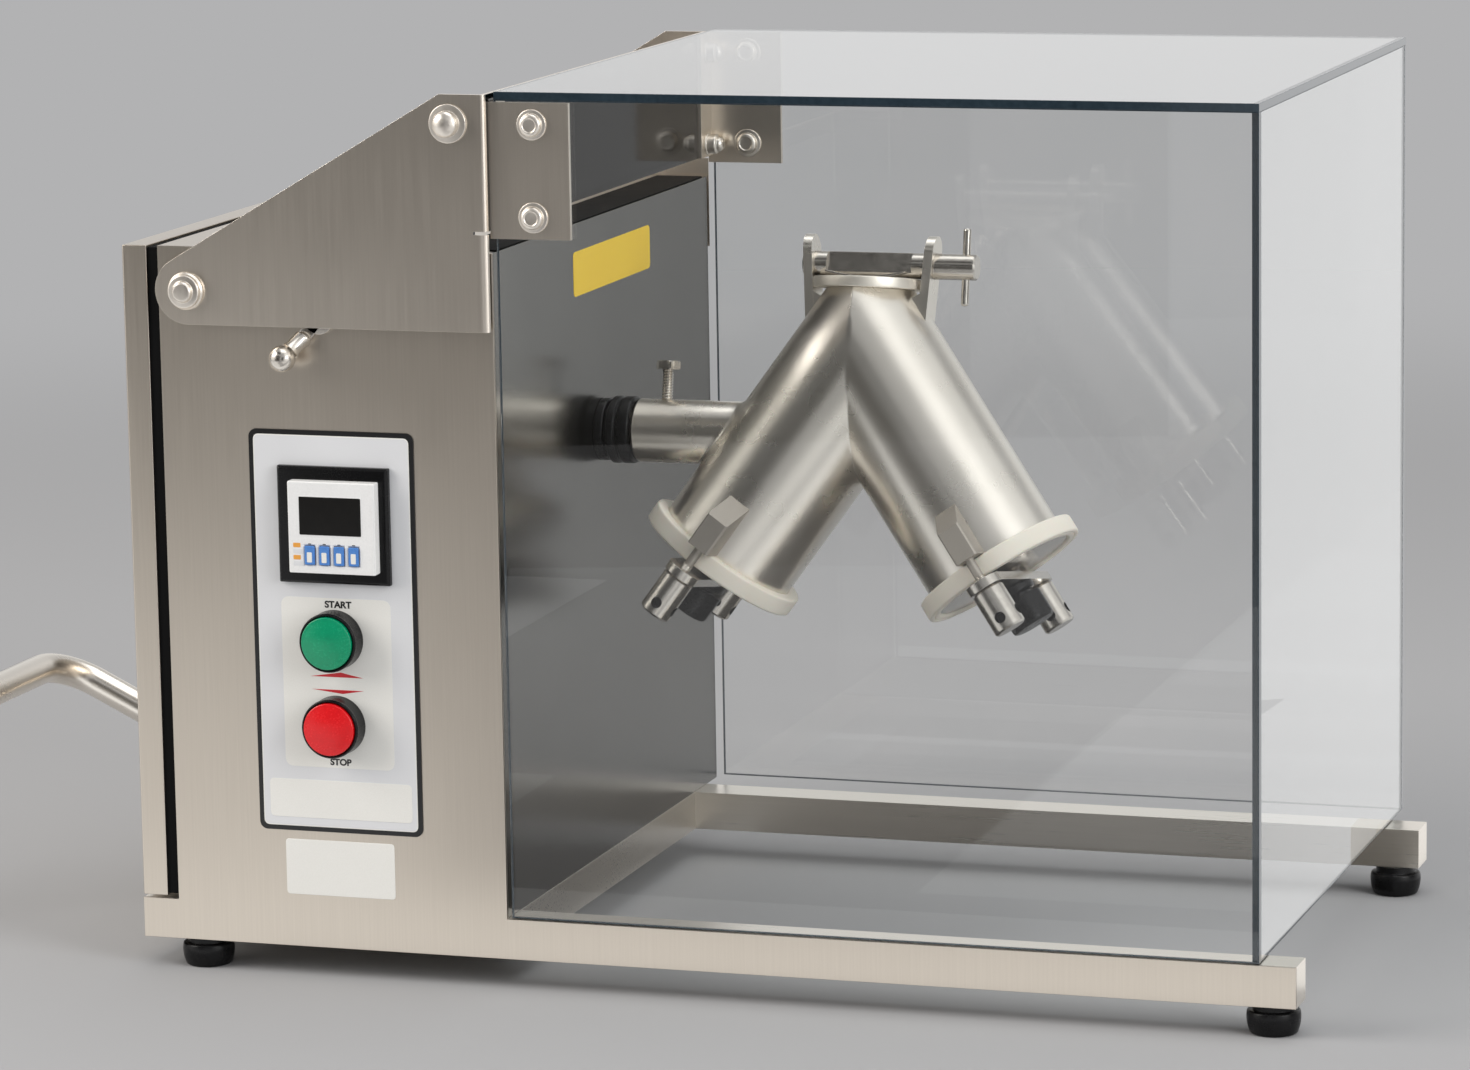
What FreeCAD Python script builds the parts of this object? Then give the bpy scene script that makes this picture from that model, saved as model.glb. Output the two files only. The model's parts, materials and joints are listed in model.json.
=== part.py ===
import FreeCAD, Part
import math
import os

import Sketcher

# A bench-top twin-shell tumble blender. The machine frame has x along the length from the left end of the base,
# y into the depth from the front plate and z up from the underside of the base; all sizes are millimetres.
os.makedirs("parts", exist_ok=True)
doc = FreeCAD.newDocument("tumble_blender")
sheet = doc.addObject("Spreadsheet::Sheet", "sizes")


class Size:
    """A length, angle or share: its number and the sheet expression that gives the same number."""

    def __init__(self, amount, text):
        self.amount = amount
        self.text = text

    def __add__(self, other):
        other = as_size(other)
        return Size(self.amount + other.amount, f"({self.text} + {other.text})")

    def __sub__(self, other):
        other = as_size(other)
        return Size(self.amount - other.amount, f"({self.text} - {other.text})")

    def __mul__(self, other):
        other = as_size(other)
        return Size(self.amount * other.amount, f"({self.text} * {other.text})")

    def __truediv__(self, other):
        other = as_size(other)
        return Size(self.amount / other.amount, f"({self.text} / {other.text})")

    def __rsub__(self, other):
        return as_size(other) - self

    def __rmul__(self, other):
        return as_size(other) * self

    def __neg__(self):
        return Size(-self.amount, f"(0 - {self.text})")

    __radd__ = __add__


def as_size(value):
    return value if isinstance(value, Size) else Size(value, repr(value))


def sine(angle):
    return Size(math.sin(math.radians(angle.amount)), f"sin({angle.text})")


def cosine(angle):
    return Size(math.cos(math.radians(angle.amount)), f"cos({angle.text})")


def tangent(angle):
    return Size(math.tan(math.radians(angle.amount)), f"tan({angle.text})")


def size(alias, amount, note):
    """Write one driving size into the sheet and return it."""
    size.row += 1
    sheet.set(f"A{size.row}", alias)
    sheet.set(f"B{size.row}", str(amount))
    sheet.set(f"C{size.row}", note)
    sheet.setAlias(f"B{size.row}", alias)
    return Size(float(amount), f"sizes.{alias}")


size.row = 0
half_turn = 180

# Base and cabinet
base_length = size("base_length", 583, "front rail, end to end")
base_depth = size("base_depth", 315, "front face to the back of the rear rail")
base_height = size("base_height", 20, "rail height")
rail_width = size("rail_width", 21, "rail width")
frame_gauge = size("frame_gauge", 2, "sheet of the base frame")
plate_gauge = size("plate_gauge", 2, "sheet of the front plate")
shell_gauge = size("shell_gauge", 2, "sheet of the cabinet")
cabinet_depth = size("cabinet_depth", 332, "front face to the back of the cabinet")
cabinet_top = size("cabinet_top", 346, "cabinet top above the base underside")
wall_face = size("wall_face", 192, "outer face of the partition wall")
cover_depth = size("cover_depth", 13, "flange depth of the service cover")
cover_foot = size("cover_foot", 1.5, "gap under the service cover")
gasket_gap = size("gasket_gap", 5.9, "cover to cabinet")
gasket_width = size("gasket_width", 10, "gasket frame width")
gasket_inset = size("gasket_inset", 1, "gasket set back from the cabinet faces")
window_margin = size("window_margin", 14, "frame left round the service opening")
foot_height = size("foot_height", 15, "rubber foot below the base")
foot_radius = size("foot_radius", 13, "rubber foot")
foot_neck_radius = size("foot_neck_radius", 10, "neck of the foot")
foot_neck_height = size("foot_neck_height", 3.5, "neck of the foot")
foot_edge = size("foot_edge", 1.5, "rounding of the foot")
foot_inset = size("foot_inset", 13.5, "foot centre from the rail's faces")
foot_inset_left = size("foot_inset_left", 28.5, "left foot centre from the base's left end")
boss_radius = size("boss_radius", 5, "foot boss inside the rail")

# Carry handle
handle_radius = size("handle_radius", 7.75, "handle tube")
handle_wall = size("handle_wall", 1.5, "handle tube wall")
handle_reach = size("handle_reach", 114, "handle centreline out from the cover")
handle_foot = size("handle_foot", 48, "handle root above the base underside")
handle_tilt = size("handle_tilt", 26, "tilt of the handle post in degrees")
handle_grip = size("handle_grip", 124, "length of the grip along y")
handle_bend = size("handle_bend", 20, "bend radius of the tube")
flange_radius = size("flange_radius", 21, "welded flange of the handle")
flange_gauge = size("flange_gauge", 4, "welded flange of the handle")

# Drive line
shaft_rise = size("shaft_rise", 237.5, "shaft axis above the base underside")
shaft_radius = size("shaft_radius", 12.5, "drive shaft")
shaft_start = size("shaft_start", 66, "inner end of the drive shaft")
shaft_reach = size("shaft_reach", 53, "drive shaft beyond the partition wall")
shaft_chamfer = size("shaft_chamfer", 1, "chamfer of the shaft ends")
running_fit = size("running_fit", 0.05, "radial gap of shafts and pins")
loose_gap = size("loose_gap", 0.3, "gap between pieces that pass each other")
collar_radius = size("collar_radius", 19, "thrust collar")
collar_width = size("collar_width", 12, "thrust collar")
seal_radius = size("seal_radius", 17, "shaft seal")
seal_length = size("seal_length", 18.5, "shaft seal outside the wall")
seal_flange_radius = size("seal_flange_radius", 15.5, "seal flange at the wall")
seal_flange = size("seal_flange", 4.5, "seal flange at the wall")
seal_neck_radius = size("seal_neck_radius", 14, "groove of the seal")
seal_neck = size("seal_neck", 1.8, "groove of the seal")
seal_edge = size("seal_edge", 2, "bevel of the seal")
seal_spigot_radius = size("seal_spigot_radius", 13.8, "seal in the wall")
bearing_side = size("bearing_side", 84, "flange bearing plate")
bearing_plate = size("bearing_plate", 8, "flange bearing plate")
bearing_radius = size("bearing_radius", 30, "flange bearing boss")
bearing_length = size("bearing_length", 20, "flange bearing along the shaft")
gearbox_left = size("gearbox_left", 62, "gearbox from the left end")
gearbox_width = size("gearbox_width", 58, "gearbox along the shaft")
gearbox_depth = size("gearbox_depth", 72, "gearbox")
gearbox_height = size("gearbox_height", 84, "gearbox")
gearbox_hub_radius = size("gearbox_hub_radius", 22, "gearbox output hub")
gearbox_hub_length = size("gearbox_hub_length", 4, "gearbox output hub")
motor_radius = size("motor_radius", 42, "motor")
motor_clearance = size("motor_clearance", 16.5, "motor to the cabinet back")
motor_neck_radius = size("motor_neck_radius", 30, "motor spigot")
motor_neck_length = size("motor_neck_length", 8, "motor spigot")
motor_cowl_radius = size("motor_cowl_radius", 38, "motor fan cowl")
motor_cowl_length = size("motor_cowl_length", 30, "motor fan cowl")
bracket_gauge = size("bracket_gauge", 4, "gearbox stand")
bracket_margin = size("bracket_margin", 8, "gearbox stand beyond the gearbox")

# Blending shell
shell_reach = size("shell_reach", 138.2, "mitre plane from the partition wall")
shell_tilt = size("shell_tilt", 10, "turn of the shell at rest in degrees")
leg_tilt = size("leg_tilt", 34.8, "each leg from the mitre plane in degrees")
leg_apex = size("leg_apex", 40.9, "meeting point of the leg axes above the shaft")
leg_radius = size("leg_radius", 36.7, "shell leg outside")
leg_wall = size("leg_wall", 2, "shell leg wall")
leg_length = size("leg_length", 125, "leg axis from the meeting point to its open end")
port_rise = size("port_rise", 74, "discharge port above the shaft")
overrun = size("overrun", 90, "extra length of cutting tools")
trunnion_radius = size("trunnion_radius", 16, "trunnion tube")
trunnion_gap = size("trunnion_gap", 19, "trunnion end from the partition wall")
bore_slack = size("bore_slack", 1.5, "trunnion bore beyond the shaft end")
clamp_reach = size("clamp_reach", 33.5, "clamp bolt from the partition wall")
clamp_radius = size("clamp_radius", 3, "clamp bolt shank")
clamp_top = size("clamp_top", 31, "underside of the clamp bolt head above the shaft axis")
clamp_head_height = size("clamp_head_height", 4.5, "clamp bolt head")
clamp_head_radius = size("clamp_head_radius", 6.4, "clamp bolt head across corners, half")

# Leg ends
ring_start = size("ring_start", 121, "end gasket from the meeting point")
ring_length = size("ring_length", 9.5, "end gasket")
ring_radius = size("ring_radius", 43, "end gasket outside")
ring_lip_radius = size("ring_lip_radius", 33, "end gasket lip inside")
ring_lip = size("ring_lip", 2, "end gasket lip")
ring_edge = size("ring_edge", 0.8, "end gasket edge")
end_cover_gauge = size("end_cover_gauge", 2.5, "end cover")
end_cover_boss_radius = size("end_cover_boss_radius", 7, "end cover boss")
end_cover_boss = size("end_cover_boss", 1.2, "end cover boss")
bar_start = size("bar_start", 133, "clamp bar from the meeting point")
bar_gauge = size("bar_gauge", 4.5, "clamp bar")
bar_half_width = size("bar_half_width", 9, "clamp bar")
stud_offset = size("stud_offset", 48, "stud from the leg axis")
stud_radius = size("stud_radius", 2.4, "stud")
stud_end = size("stud_end", 150, "stud end from the meeting point")
lug_start = size("lug_start", 92, "tip of the stud lug")
lug_shoulder = size("lug_shoulder", 103, "lug shoulder")
lug_gap = size("lug_gap", 0.4, "lug to gasket")
lug_half_width = size("lug_half_width", 6, "stud lug")
lug_wrap = size("lug_wrap", 5, "lug beyond the stud axis")
lug_edge = size("lug_edge", 0.8, "bevel of the lug")
nut_radius = size("nut_radius", 8.25, "tommy nut")
nut_start = size("nut_start", 137.8, "tommy nut from the meeting point")
nut_length = size("nut_length", 22.5, "tommy nut")
nut_edge = size("nut_edge", 1, "tommy nut chamfer")
nut_bore_depth = size("nut_bore_depth", 14, "thread depth of the tommy nut")
nut_hole_radius = size("nut_hole_radius", 2.8, "bar hole of the tommy nut")
nut_hole_place = size("nut_hole_place", 16, "bar hole from the nut's seat")
knob_start = size("knob_start", 138, "knob from the meeting point")
knob_screw_radius = size("knob_screw_radius", 4, "knob screw")
knob_screw_start = size("knob_screw_start", 131, "knob screw tip from the meeting point")
knob_flange_radius = size("knob_flange_radius", 10.5, "knob flange")
knob_flange = size("knob_flange", 4, "knob flange")
knob_waist_radius = size("knob_waist_radius", 7, "knob waist")
knob_waist = size("knob_waist", 2, "knob waist")
knob_head_radius = size("knob_head_radius", 11.5, "knob head across corners, half")
knob_head = size("knob_head", 15, "knob head")

# Discharge port hardware
lid_half_width = size("lid_half_width", 26.2, "lid, half of its width and its end radius")
lid_stretch = size("lid_stretch", 9, "lid end centres from the middle")
lid_gauge = size("lid_gauge", 5.2, "lid")
lid_edge = size("lid_edge", 0.8, "lid edge")
ear_gauge = size("ear_gauge", 4.5, "ear plate")
ear_gap = size("ear_gap", 2.4, "lid to ear")
ear_half_width = size("ear_half_width", 8.5, "ear plate")
ear_root = size("ear_root", 56, "ear plate foot above the shaft")
cam_rise = size("cam_rise", 86, "cam shaft above the drive shaft")
cam_radius = size("cam_radius", 6.5, "cam shaft")
cam_left = size("cam_left", 34.5, "cam shaft left of the mitre plane")
cam_right = size("cam_right", 54.5, "cam shaft right of the mitre plane")
cam_flat = size("cam_flat", 3.6, "milled flat from the cam shaft axis")
cam_flat_reach = size("cam_flat_reach", 22, "milled flat each way from the mitre plane")
flat_tilt = size("flat_tilt", 68, "milled flat turned to the front in degrees")
pin_radius = size("pin_radius", 1.95, "cross pin")
pin_place = size("pin_place", 48.7, "cross pin from the mitre plane")
pin_half_length = size("pin_half_length", 19.3, "cross pin")
leaf_radius = size("leaf_radius", 80, "bow of the leaf spring")
leaf_gauge = size("leaf_gauge", 1, "leaf spring")
leaf_front = size("leaf_front", 13, "leaf spring front edge from the port axis")
leaf_width = size("leaf_width", 6, "leaf spring")
leaf_half_length = size("leaf_half_length", 20.5, "leaf spring")

# Guard
pivot_place = size("pivot_place", 36, "guard pivot from the left end")
pivot_drop = size("pivot_drop", 21, "guard pivot below the cabinet top")
pivot_radius = size("pivot_radius", 6, "pivot shoulder")
pivot_shank_radius = size("pivot_shank_radius", 5, "pivot shank")
pivot_depth = size("pivot_depth", 14, "pivot shank behind the cabinet face")
pivot_collar_radius = size("pivot_collar_radius", 9, "pivot collar")
pivot_head_radius = size("pivot_head_radius", 8.5, "pivot head")
pivot_head = size("pivot_head", 4.6, "pivot head")
pivot_dome_radius = size("pivot_dome_radius", 4.5, "pivot head dome")
pivot_dome = size("pivot_dome", 2.8, "pivot head dome")
axial_gap = size("axial_gap", 0.2, "axial play of the arms")
arm_gap = size("arm_gap", 3, "cabinet face to guard arm")
yoke_gauge = size("yoke_gauge", 2.5, "sheet of the guard yoke")
arm_end_radius = size("arm_end_radius", 16.5, "rounded arm end")
arm_tilt = size("arm_tilt", 30.5, "slope of the arm's upper edge in degrees")
yoke_rise = size("yoke_rise", 76.4, "yoke top above the cabinet top")
web_gap = size("web_gap", 11, "cabinet top to the yoke's cross panel")
relief_length = size("relief_length", 7, "bend relief of the yoke")
relief_height = size("relief_height", 1.6, "bend relief of the yoke")
yoke_bend = size("yoke_bend", 2.3, "bend of the yoke's corners")
pane_gauge = size("pane_gauge", 4, "clear pane")
pane_gap = size("pane_gap", 2, "pane to partition wall")
pane_front = size("pane_front", 1.5, "front pane behind the front face")
pane_overhang = size("pane_overhang", 10, "rear pane beyond the cabinet back")
pane_inset = size("pane_inset", 17.8, "right pane from the right end of the base")
pane_proud = size("pane_proud", 0.9, "top pane above the yoke")
clip_gauge = size("clip_gauge", 2.4, "guard bracket sheet")
clip_width = size("clip_width", 40.5, "guard bracket from the partition wall")
clip_height = size("clip_height", 65.3, "guard brackets")
clip_drop = size("clip_drop", 3.8, "guard brackets below the yoke top")
clip_fold = size("clip_fold", 20, "fold of the guard brackets along the cross panel")
clip_bolt_reach = size("clip_bolt_reach", 22, "bracket bolts from the partition wall")
clip_bolt_inset = size("clip_bolt_inset", 10.5, "bracket bolts from the bracket ends")
screw_radius = size("screw_radius", 2.5, "bracket bolt shank")
screw_washer_radius = size("screw_washer_radius", 7.4, "bracket bolt washer")
screw_washer = size("screw_washer", 1, "bracket bolt washer")
screw_head_radius = size("screw_head_radius", 5.2, "bracket bolt head")
screw_head = size("screw_head", 4.2, "bracket bolt head")
tie_inset = size("tie_inset", 18.5, "tie rod from the partition wall")
tie_drop = size("tie_drop", 13.9, "tie rod below the yoke top")
tie_radius = size("tie_radius", 5, "tie rod")
tie_thread_radius = size("tie_thread_radius", 4, "tie rod thread")
tie_washer_radius = size("tie_washer_radius", 9.4, "tie rod washer")
tie_washer = size("tie_washer", 1.6, "tie rod washer")
tie_nut_radius = size("tie_nut_radius", 6, "tie rod dome nut")
tie_nut = size("tie_nut", 7, "tie rod dome nut")
tie_nut_crown_radius = size("tie_nut_crown_radius", 3.4, "crown of the dome nut")

# Controls
panel_left = size("panel_left", 64, "control overlay from the left end")
panel_width = size("panel_width", 85.6, "control overlay")
panel_over = size("panel_over", 45.9, "control overlay above the timer centre")
panel_height = size("panel_height", 199.2, "control overlay")
panel_gauge = size("panel_gauge", 0.6, "control overlay")
panel_corner = size("panel_corner", 4, "control overlay corner")
timer_place = size("timer_place", 108.3, "timer centre from the left end")
timer_rise = size("timer_rise", 211.8, "timer centre above the base underside")
timer_side = size("timer_side", 57.6, "timer bezel")
timer_bezel = size("timer_bezel", 4, "timer bezel")
timer_face_side = size("timer_face_side", 45, "timer face")
timer_face_shift = size("timer_face_shift", 1.9, "timer face right of the bezel centre")
timer_face = size("timer_face", 6.5, "timer face")
timer_body_side = size("timer_body_side", 44.4, "timer body")
timer_body = size("timer_body", 60, "timer body behind the plate")
timer_edge = size("timer_edge", 1.2, "timer bezel edge")
key_width = size("key_width", 5, "timer key")
key_height = size("key_height", 9.2, "timer key")
key_gauge = size("key_gauge", 1.4, "timer key thickness")
key_stand = size("key_stand", 0.8, "timer key above the face")
key_travel = size("key_travel", 0.4, "timer key travel")
key_pitch = size("key_pitch", 7.6, "timer keys apart")
key_drop = size("key_drop", 13.6, "timer keys below the timer centre")
key_gap = size("key_gap", 0.3, "gap round a key")
button_place = size("button_place", 106.4, "push buttons from the left end")
start_drop = size("start_drop", 56.8, "start button below the timer centre")
button_pitch = size("button_pitch", 42.6, "stop button below the start button")
button_radius = size("button_radius", 14.75, "push button bezel")
button_bezel = size("button_bezel", 11, "push button bezel")
button_rim = size("button_rim", 1.45, "push button rim")
button_floor = size("button_floor", 3, "push button bezel floor")
button_barrel_radius = size("button_barrel_radius", 11, "push button barrel")
button_barrel = size("button_barrel", 22, "push button barrel behind the plate")
cap_lift = size("cap_lift", 3.6, "cap above the bezel floor")
cap_crown = size("cap_crown", 1.2, "dome of the cap")
cap_stand = size("cap_stand", 3, "cap in front of the bezel")
cap_edge_radius = size("cap_edge_radius", 11.2, "flat of the cap")
stem_radius = size("stem_radius", 5, "cap stem")
stem_depth = size("stem_depth", 10, "cap stem behind the overlay")
contact_side = size("contact_side", 24, "contact block")
contact_depth = size("contact_depth", 25, "contact block")
latch_place = size("latch_place", 103, "latch hub from the left end")
latch_drop = size("latch_drop", 12, "latch hub below the guard pivot")
latch_hub_radius = size("latch_hub_radius", 8, "latch hub")
latch_pin_radius = size("latch_pin_radius", 4, "latch pin")
latch_pin_depth = size("latch_pin_depth", 12, "latch pin behind the plate")
latch_arm = size("latch_arm", 24.4, "latch hub to ball")
latch_tilt = size("latch_tilt", 51, "latch arm below level in degrees")
latch_half_width = size("latch_half_width", 3.4, "latch arm")
latch_bar_margin = size("latch_bar_margin", 1.2, "latch arm beyond the shank root")
latch_rivet_radius = size("latch_rivet_radius", 1.7, "rivet of the latch shank in the arm")
latch_rivet_shift = size("latch_rivet_shift", 1.6, "rivet from the shank root toward the hub")
latch_shank_radius = size("latch_shank_radius", 3.4, "latch shank")
latch_shank_start = size("latch_shank_start", 14, "latch shank root from the hub")
latch_shank_stand = size("latch_shank_stand", 4.6, "latch shank root in front of the plate")
shank_tilt = size("shank_tilt", 35.4, "latch shank out of the swing plane in degrees")
ball_radius = size("ball_radius", 6.5, "latch ball")

# Electrical pieces inside and at the back
board_left = size("board_left", 40, "controller board")
board_width = size("board_width", 95, "controller board")
board_bottom = size("board_bottom", 50, "controller board")
board_height = size("board_height", 120, "controller board")
board_gauge = size("board_gauge", 1.6, "controller board")
post_length = size("post_length", 10, "board post")
post_radius = size("post_radius", 3, "board post")
post_inset = size("post_inset", 6, "board post from the board edge")
chip_width = size("chip_width", 30, "board component")
chip_height = size("chip_height", 40, "board component")
chip_depth = size("chip_depth", 18, "board component")
inlet_place = size("inlet_place", 162, "mains inlet from the left end")
inlet_rise = size("inlet_rise", 62, "mains inlet above the base underside")
inlet_width = size("inlet_width", 30, "mains inlet flange")
inlet_height = size("inlet_height", 48, "mains inlet flange")
inlet_flange = size("inlet_flange", 2.4, "mains inlet flange")
inlet_body_width = size("inlet_body_width", 27, "mains inlet body")
inlet_body_height = size("inlet_body_height", 31, "mains inlet body")
inlet_body_depth = size("inlet_body_depth", 22, "mains inlet body")
socket_width = size("socket_width", 16.5, "mains inlet socket")
socket_height = size("socket_height", 24, "mains inlet socket")
socket_depth = size("socket_depth", 16, "mains inlet socket")
blade_radius = size("blade_radius", 1.6, "mains inlet blade")
blade_length = size("blade_length", 12, "mains inlet blade")
blade_pitch = size("blade_pitch", 7, "mains inlet blades apart")

# Derived places
cabinet_left = cover_depth + gasket_gap
shaft_depth = base_depth / 2
shell_place = wall_face + shell_reach
shaft_end = wall_face + shaft_reach
trunnion_start = wall_face + trunnion_gap
clamp_place = wall_face + clamp_reach
motor_length = cabinet_depth - shell_gauge - motor_clearance - shaft_depth - gearbox_depth / 2
pivot_rise = cabinet_top - pivot_drop
latch_rise = pivot_rise - latch_drop
yoke_top = cabinet_top + yoke_rise
web_bottom = cabinet_top + web_gap
tie_place = wall_face - tie_inset
tie_rise = yoke_top - tie_drop
clip_right = wall_face + clip_width
clip_top = yoke_top - clip_drop
clip_bottom = clip_top - clip_height
clip_bolt_place = wall_face + clip_bolt_reach
pane_back = cabinet_depth + pane_overhang
pane_right = base_length - pane_inset
pane_top = yoke_top + pane_proud
panel_bottom = timer_rise + panel_over - panel_height
start_rise = timer_rise - start_drop
stop_rise = start_rise - button_pitch
timer_face_place = timer_place + timer_face_shift
latch_stand = latch_shank_stand + (latch_arm - latch_shank_start) * tangent(shank_tilt)
reach_left = handle_reach + handle_radius
reach_front = latch_stand + ball_radius
reach_back = cabinet_depth + arm_gap + yoke_gauge + tie_washer + tie_nut
centre_x = (base_length - reach_left) / 2
centre_y = (reach_back - reach_front) / 2
pane_left = wall_face + pane_gap
pane_bottom = base_height + loose_gap


def expression(value):
    return as_size(value).text


def vector(x, y, z):
    return f"vector({expression(x)}; {expression(y)}; {expression(z)})"


def place(x, y, z, axis="0; 0; 1", turn=0):
    return f"placement({vector(x, y, z)}; rotation(vector({axis}); {expression(turn)}))"


MACHINE = place(-centre_x, -centre_y, foot_height)
SHELL = f"{MACHINE} * {place(shell_place, shaft_depth, shaft_rise, '1; 0; 0', -shell_tilt)}"
LEG_IN_SHELL = {
    "left": place(0, 0, leg_apex, "0; 1; 0", half_turn + leg_tilt),
    "right": place(0, 0, leg_apex, "0; 1; 0", half_turn - leg_tilt),
}
LEG = {side: f"{SHELL} * {local}" for side, local in LEG_IN_SHELL.items()}
TOWARD_FRONT = ("1; 0; 0", 90)
TOWARD_BACK = ("1; 0; 0", -90)
TOWARD_RIGHT = ("0; 1; 0", 90)
local_place = {}
nodes = []


def bind(thing, **sizes):
    for name, value in sizes.items():
        thing.setExpression(name, expression(value))


def settle(thing, text):
    """Give an object a placement inside the frame of its node."""
    thing.setExpression("Placement", text)
    local_place[thing.Name] = text
    return thing


def box(x, y, z, width, depth, height):
    thing = doc.addObject("Part::Box", "block")
    bind(thing, Length=width, Width=depth, Height=height)
    return settle(thing, place(x, y, z))


def rod(radius, length, x, y, z, way=("0; 0; 1", 0)):
    thing = doc.addObject("Part::Cylinder", "rod")
    bind(thing, Radius=radius, Height=length)
    return settle(thing, place(x, y, z, *way))


def prism(radius, length, x, y, z, way=("0; 0; 1", 0)):
    thing = doc.addObject("Part::Prism", "hexagon")
    thing.Polygon = 6
    bind(thing, Circumradius=radius, Height=length)
    return settle(thing, place(x, y, z, *way))


def ball(radius, x, y, z):
    thing = doc.addObject("Part::Sphere", "ball")
    bind(thing, Radius=radius)
    return settle(thing, place(x, y, z))


def fuse(*things):
    thing = doc.addObject("Part::MultiFuse", "joined")
    thing.Shapes = list(things)
    thing.Refine = True
    return thing


def cut(base, *tools):
    thing = doc.addObject("Part::Cut", "trimmed")
    thing.Base = base
    thing.Tool = tools[0] if len(tools) == 1 else fuse(*tools)
    return thing


def common(base, tool):
    thing = doc.addObject("Part::Common", "kept")
    thing.Base = base
    thing.Tool = tool
    return thing


def group(*things):
    thing = doc.addObject("Part::Compound", "set")
    thing.Links = list(things)
    return thing


def new_body(text=None):
    body = doc.addObject("PartDesign::Body", "piece")
    if text:
        settle(body, text)
    return body


def sketch_on(body, role, outlines, rounds=(), lift=None):
    """Draw closed outlines (points in order) and circles (x, y, radius) on an origin plane of the body."""
    drawing = body.newObject("Sketcher::SketchObject", "outline")
    plane = [item for item in body.Origin.OriginFeatures if item.Role == role][0]
    drawing.AttachmentSupport = [(plane, "")]
    drawing.MapMode = "FlatFace"
    if lift is not None:
        drawing.setExpression("AttachmentOffset.Base.z", expression(lift))
    first = 0
    for points in outlines:
        spots = [FreeCAD.Vector(as_size(x).amount, as_size(y).amount, 0) for x, y in points]
        count = len(spots)
        for i in range(count):
            drawing.addGeometry(Part.LineSegment(spots[i], spots[(i + 1) % count]))
        for i in range(count):
            drawing.addConstraint(Sketcher.Constraint("Coincident", first + i, 2, first + (i + 1) % count, 1))
            tie_point(drawing, first + i, 1, points[i])
        first += count
    for x, y, radius in rounds:
        centre = FreeCAD.Vector(as_size(x).amount, as_size(y).amount, 0)
        drawing.addGeometry(Part.Circle(centre, FreeCAD.Vector(0, 0, 1), radius.amount))
        tie_point(drawing, first, 3, (x, y))
        index = drawing.addConstraint(Sketcher.Constraint("Radius", first, radius.amount))
        drawing.setExpression(f"Constraints[{index}]", radius.text)
        first += 1
    return drawing


def tie_point(drawing, curve, end, point):
    """Hold a sketch point at its two distances from the sketch origin."""
    for kind, value in zip(("DistanceX", "DistanceY"), point):
        value = as_size(value)
        index = drawing.addConstraint(Sketcher.Constraint(kind, -1, 1, curve, end, value.amount))
        drawing.setExpression(f"Constraints[{index}]", value.text)


def pad(body, drawing, length, flip=False, both=False):
    feature = body.newObject("PartDesign::Pad", "pad")
    feature.Profile = drawing
    bind(feature, Length=length)
    feature.Reversed = flip
    feature.Midplane = both
    doc.recompute()
    return feature


def pocket(body, drawing, length, flip=False, both=False):
    """Cut the drawing out of the body and make sure that material went."""
    before = body.Shape.Volume
    feature = body.newObject("PartDesign::Pocket", "pocket")
    feature.Profile = drawing
    bind(feature, Length=length)
    feature.Reversed = flip
    feature.Midplane = both
    doc.recompute()
    if not body.Shape.Volume < before:
        raise ValueError(f"a pocket of {body.Name} removes nothing")
    return feature


def edges_where(shape, test):
    return [f"Edge{i + 1}" for i, edge in enumerate(shape.Edges) if test(edge)]


def dress(body, kind, amount, test):
    """Round or bevel the edges of the body's last feature that pass the test."""
    base = body.Tip
    feature = body.newObject(f"PartDesign::{kind}", kind.lower())
    feature.Base = (base, edges_where(base.Shape, test))
    bind(feature, **{"Radius" if kind == "Fillet" else "Size": amount})
    doc.recompute()
    return feature


def runs_along(edge, axis):
    if not isinstance(edge.Curve, Part.Line):
        return False
    return abs(abs(edge.Curve.Direction.dot(axis)) - 1) < 1e-6


def turned(profile, text=None):
    """A turned piece: a profile of (radius, height) points revolved about the local z axis."""
    body = new_body(text)
    drawing = sketch_on(body, "XZ_Plane", [profile])
    feature = body.newObject("PartDesign::Revolution", "turn")
    feature.Profile = drawing
    feature.ReferenceAxis = (drawing, ["V_Axis"])
    feature.Angle = half_turn * 2
    doc.recompute()
    return body


def node(label, thing, frame=MACHINE):
    """Name a finished piece and set it in its frame."""
    local = local_place.get(thing.Name)
    thing.setExpression("Placement", f"{frame} * {local}" if local else frame)
    thing.Label = label
    nodes.append(thing)
    return thing


def base_frame():
    """U-shaped folded tray, open underneath, with a boss over each foot."""
    body = new_body()
    back = base_depth - rail_width

    def u_outline(inset):
        return [
            (inset, plate_gauge + inset), (base_length - inset, plate_gauge + inset),
            (base_length - inset, rail_width - inset), (wall_face - inset, rail_width - inset),
            (wall_face - inset, back + inset), (base_length - inset, back + inset),
            (base_length - inset, base_depth - inset), (inset, base_depth - inset),
        ]

    pad(body, sketch_on(body, "XY_Plane", [u_outline(frame_gauge * 0)]), base_height)
    pocket(body, sketch_on(body, "XY_Plane", [u_outline(frame_gauge)]), base_height - frame_gauge, flip=True)
    bosses = [(x, y, boss_radius) for x, y in foot_places()]
    pad(body, sketch_on(body, "XY_Plane", [], bosses), base_height - frame_gauge)
    node("base_frame", body)


def foot_places():
    columns = (foot_inset_left, base_length - foot_inset)
    return [(x, y) for x in columns for y in (foot_inset, base_depth - foot_inset)]


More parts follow.
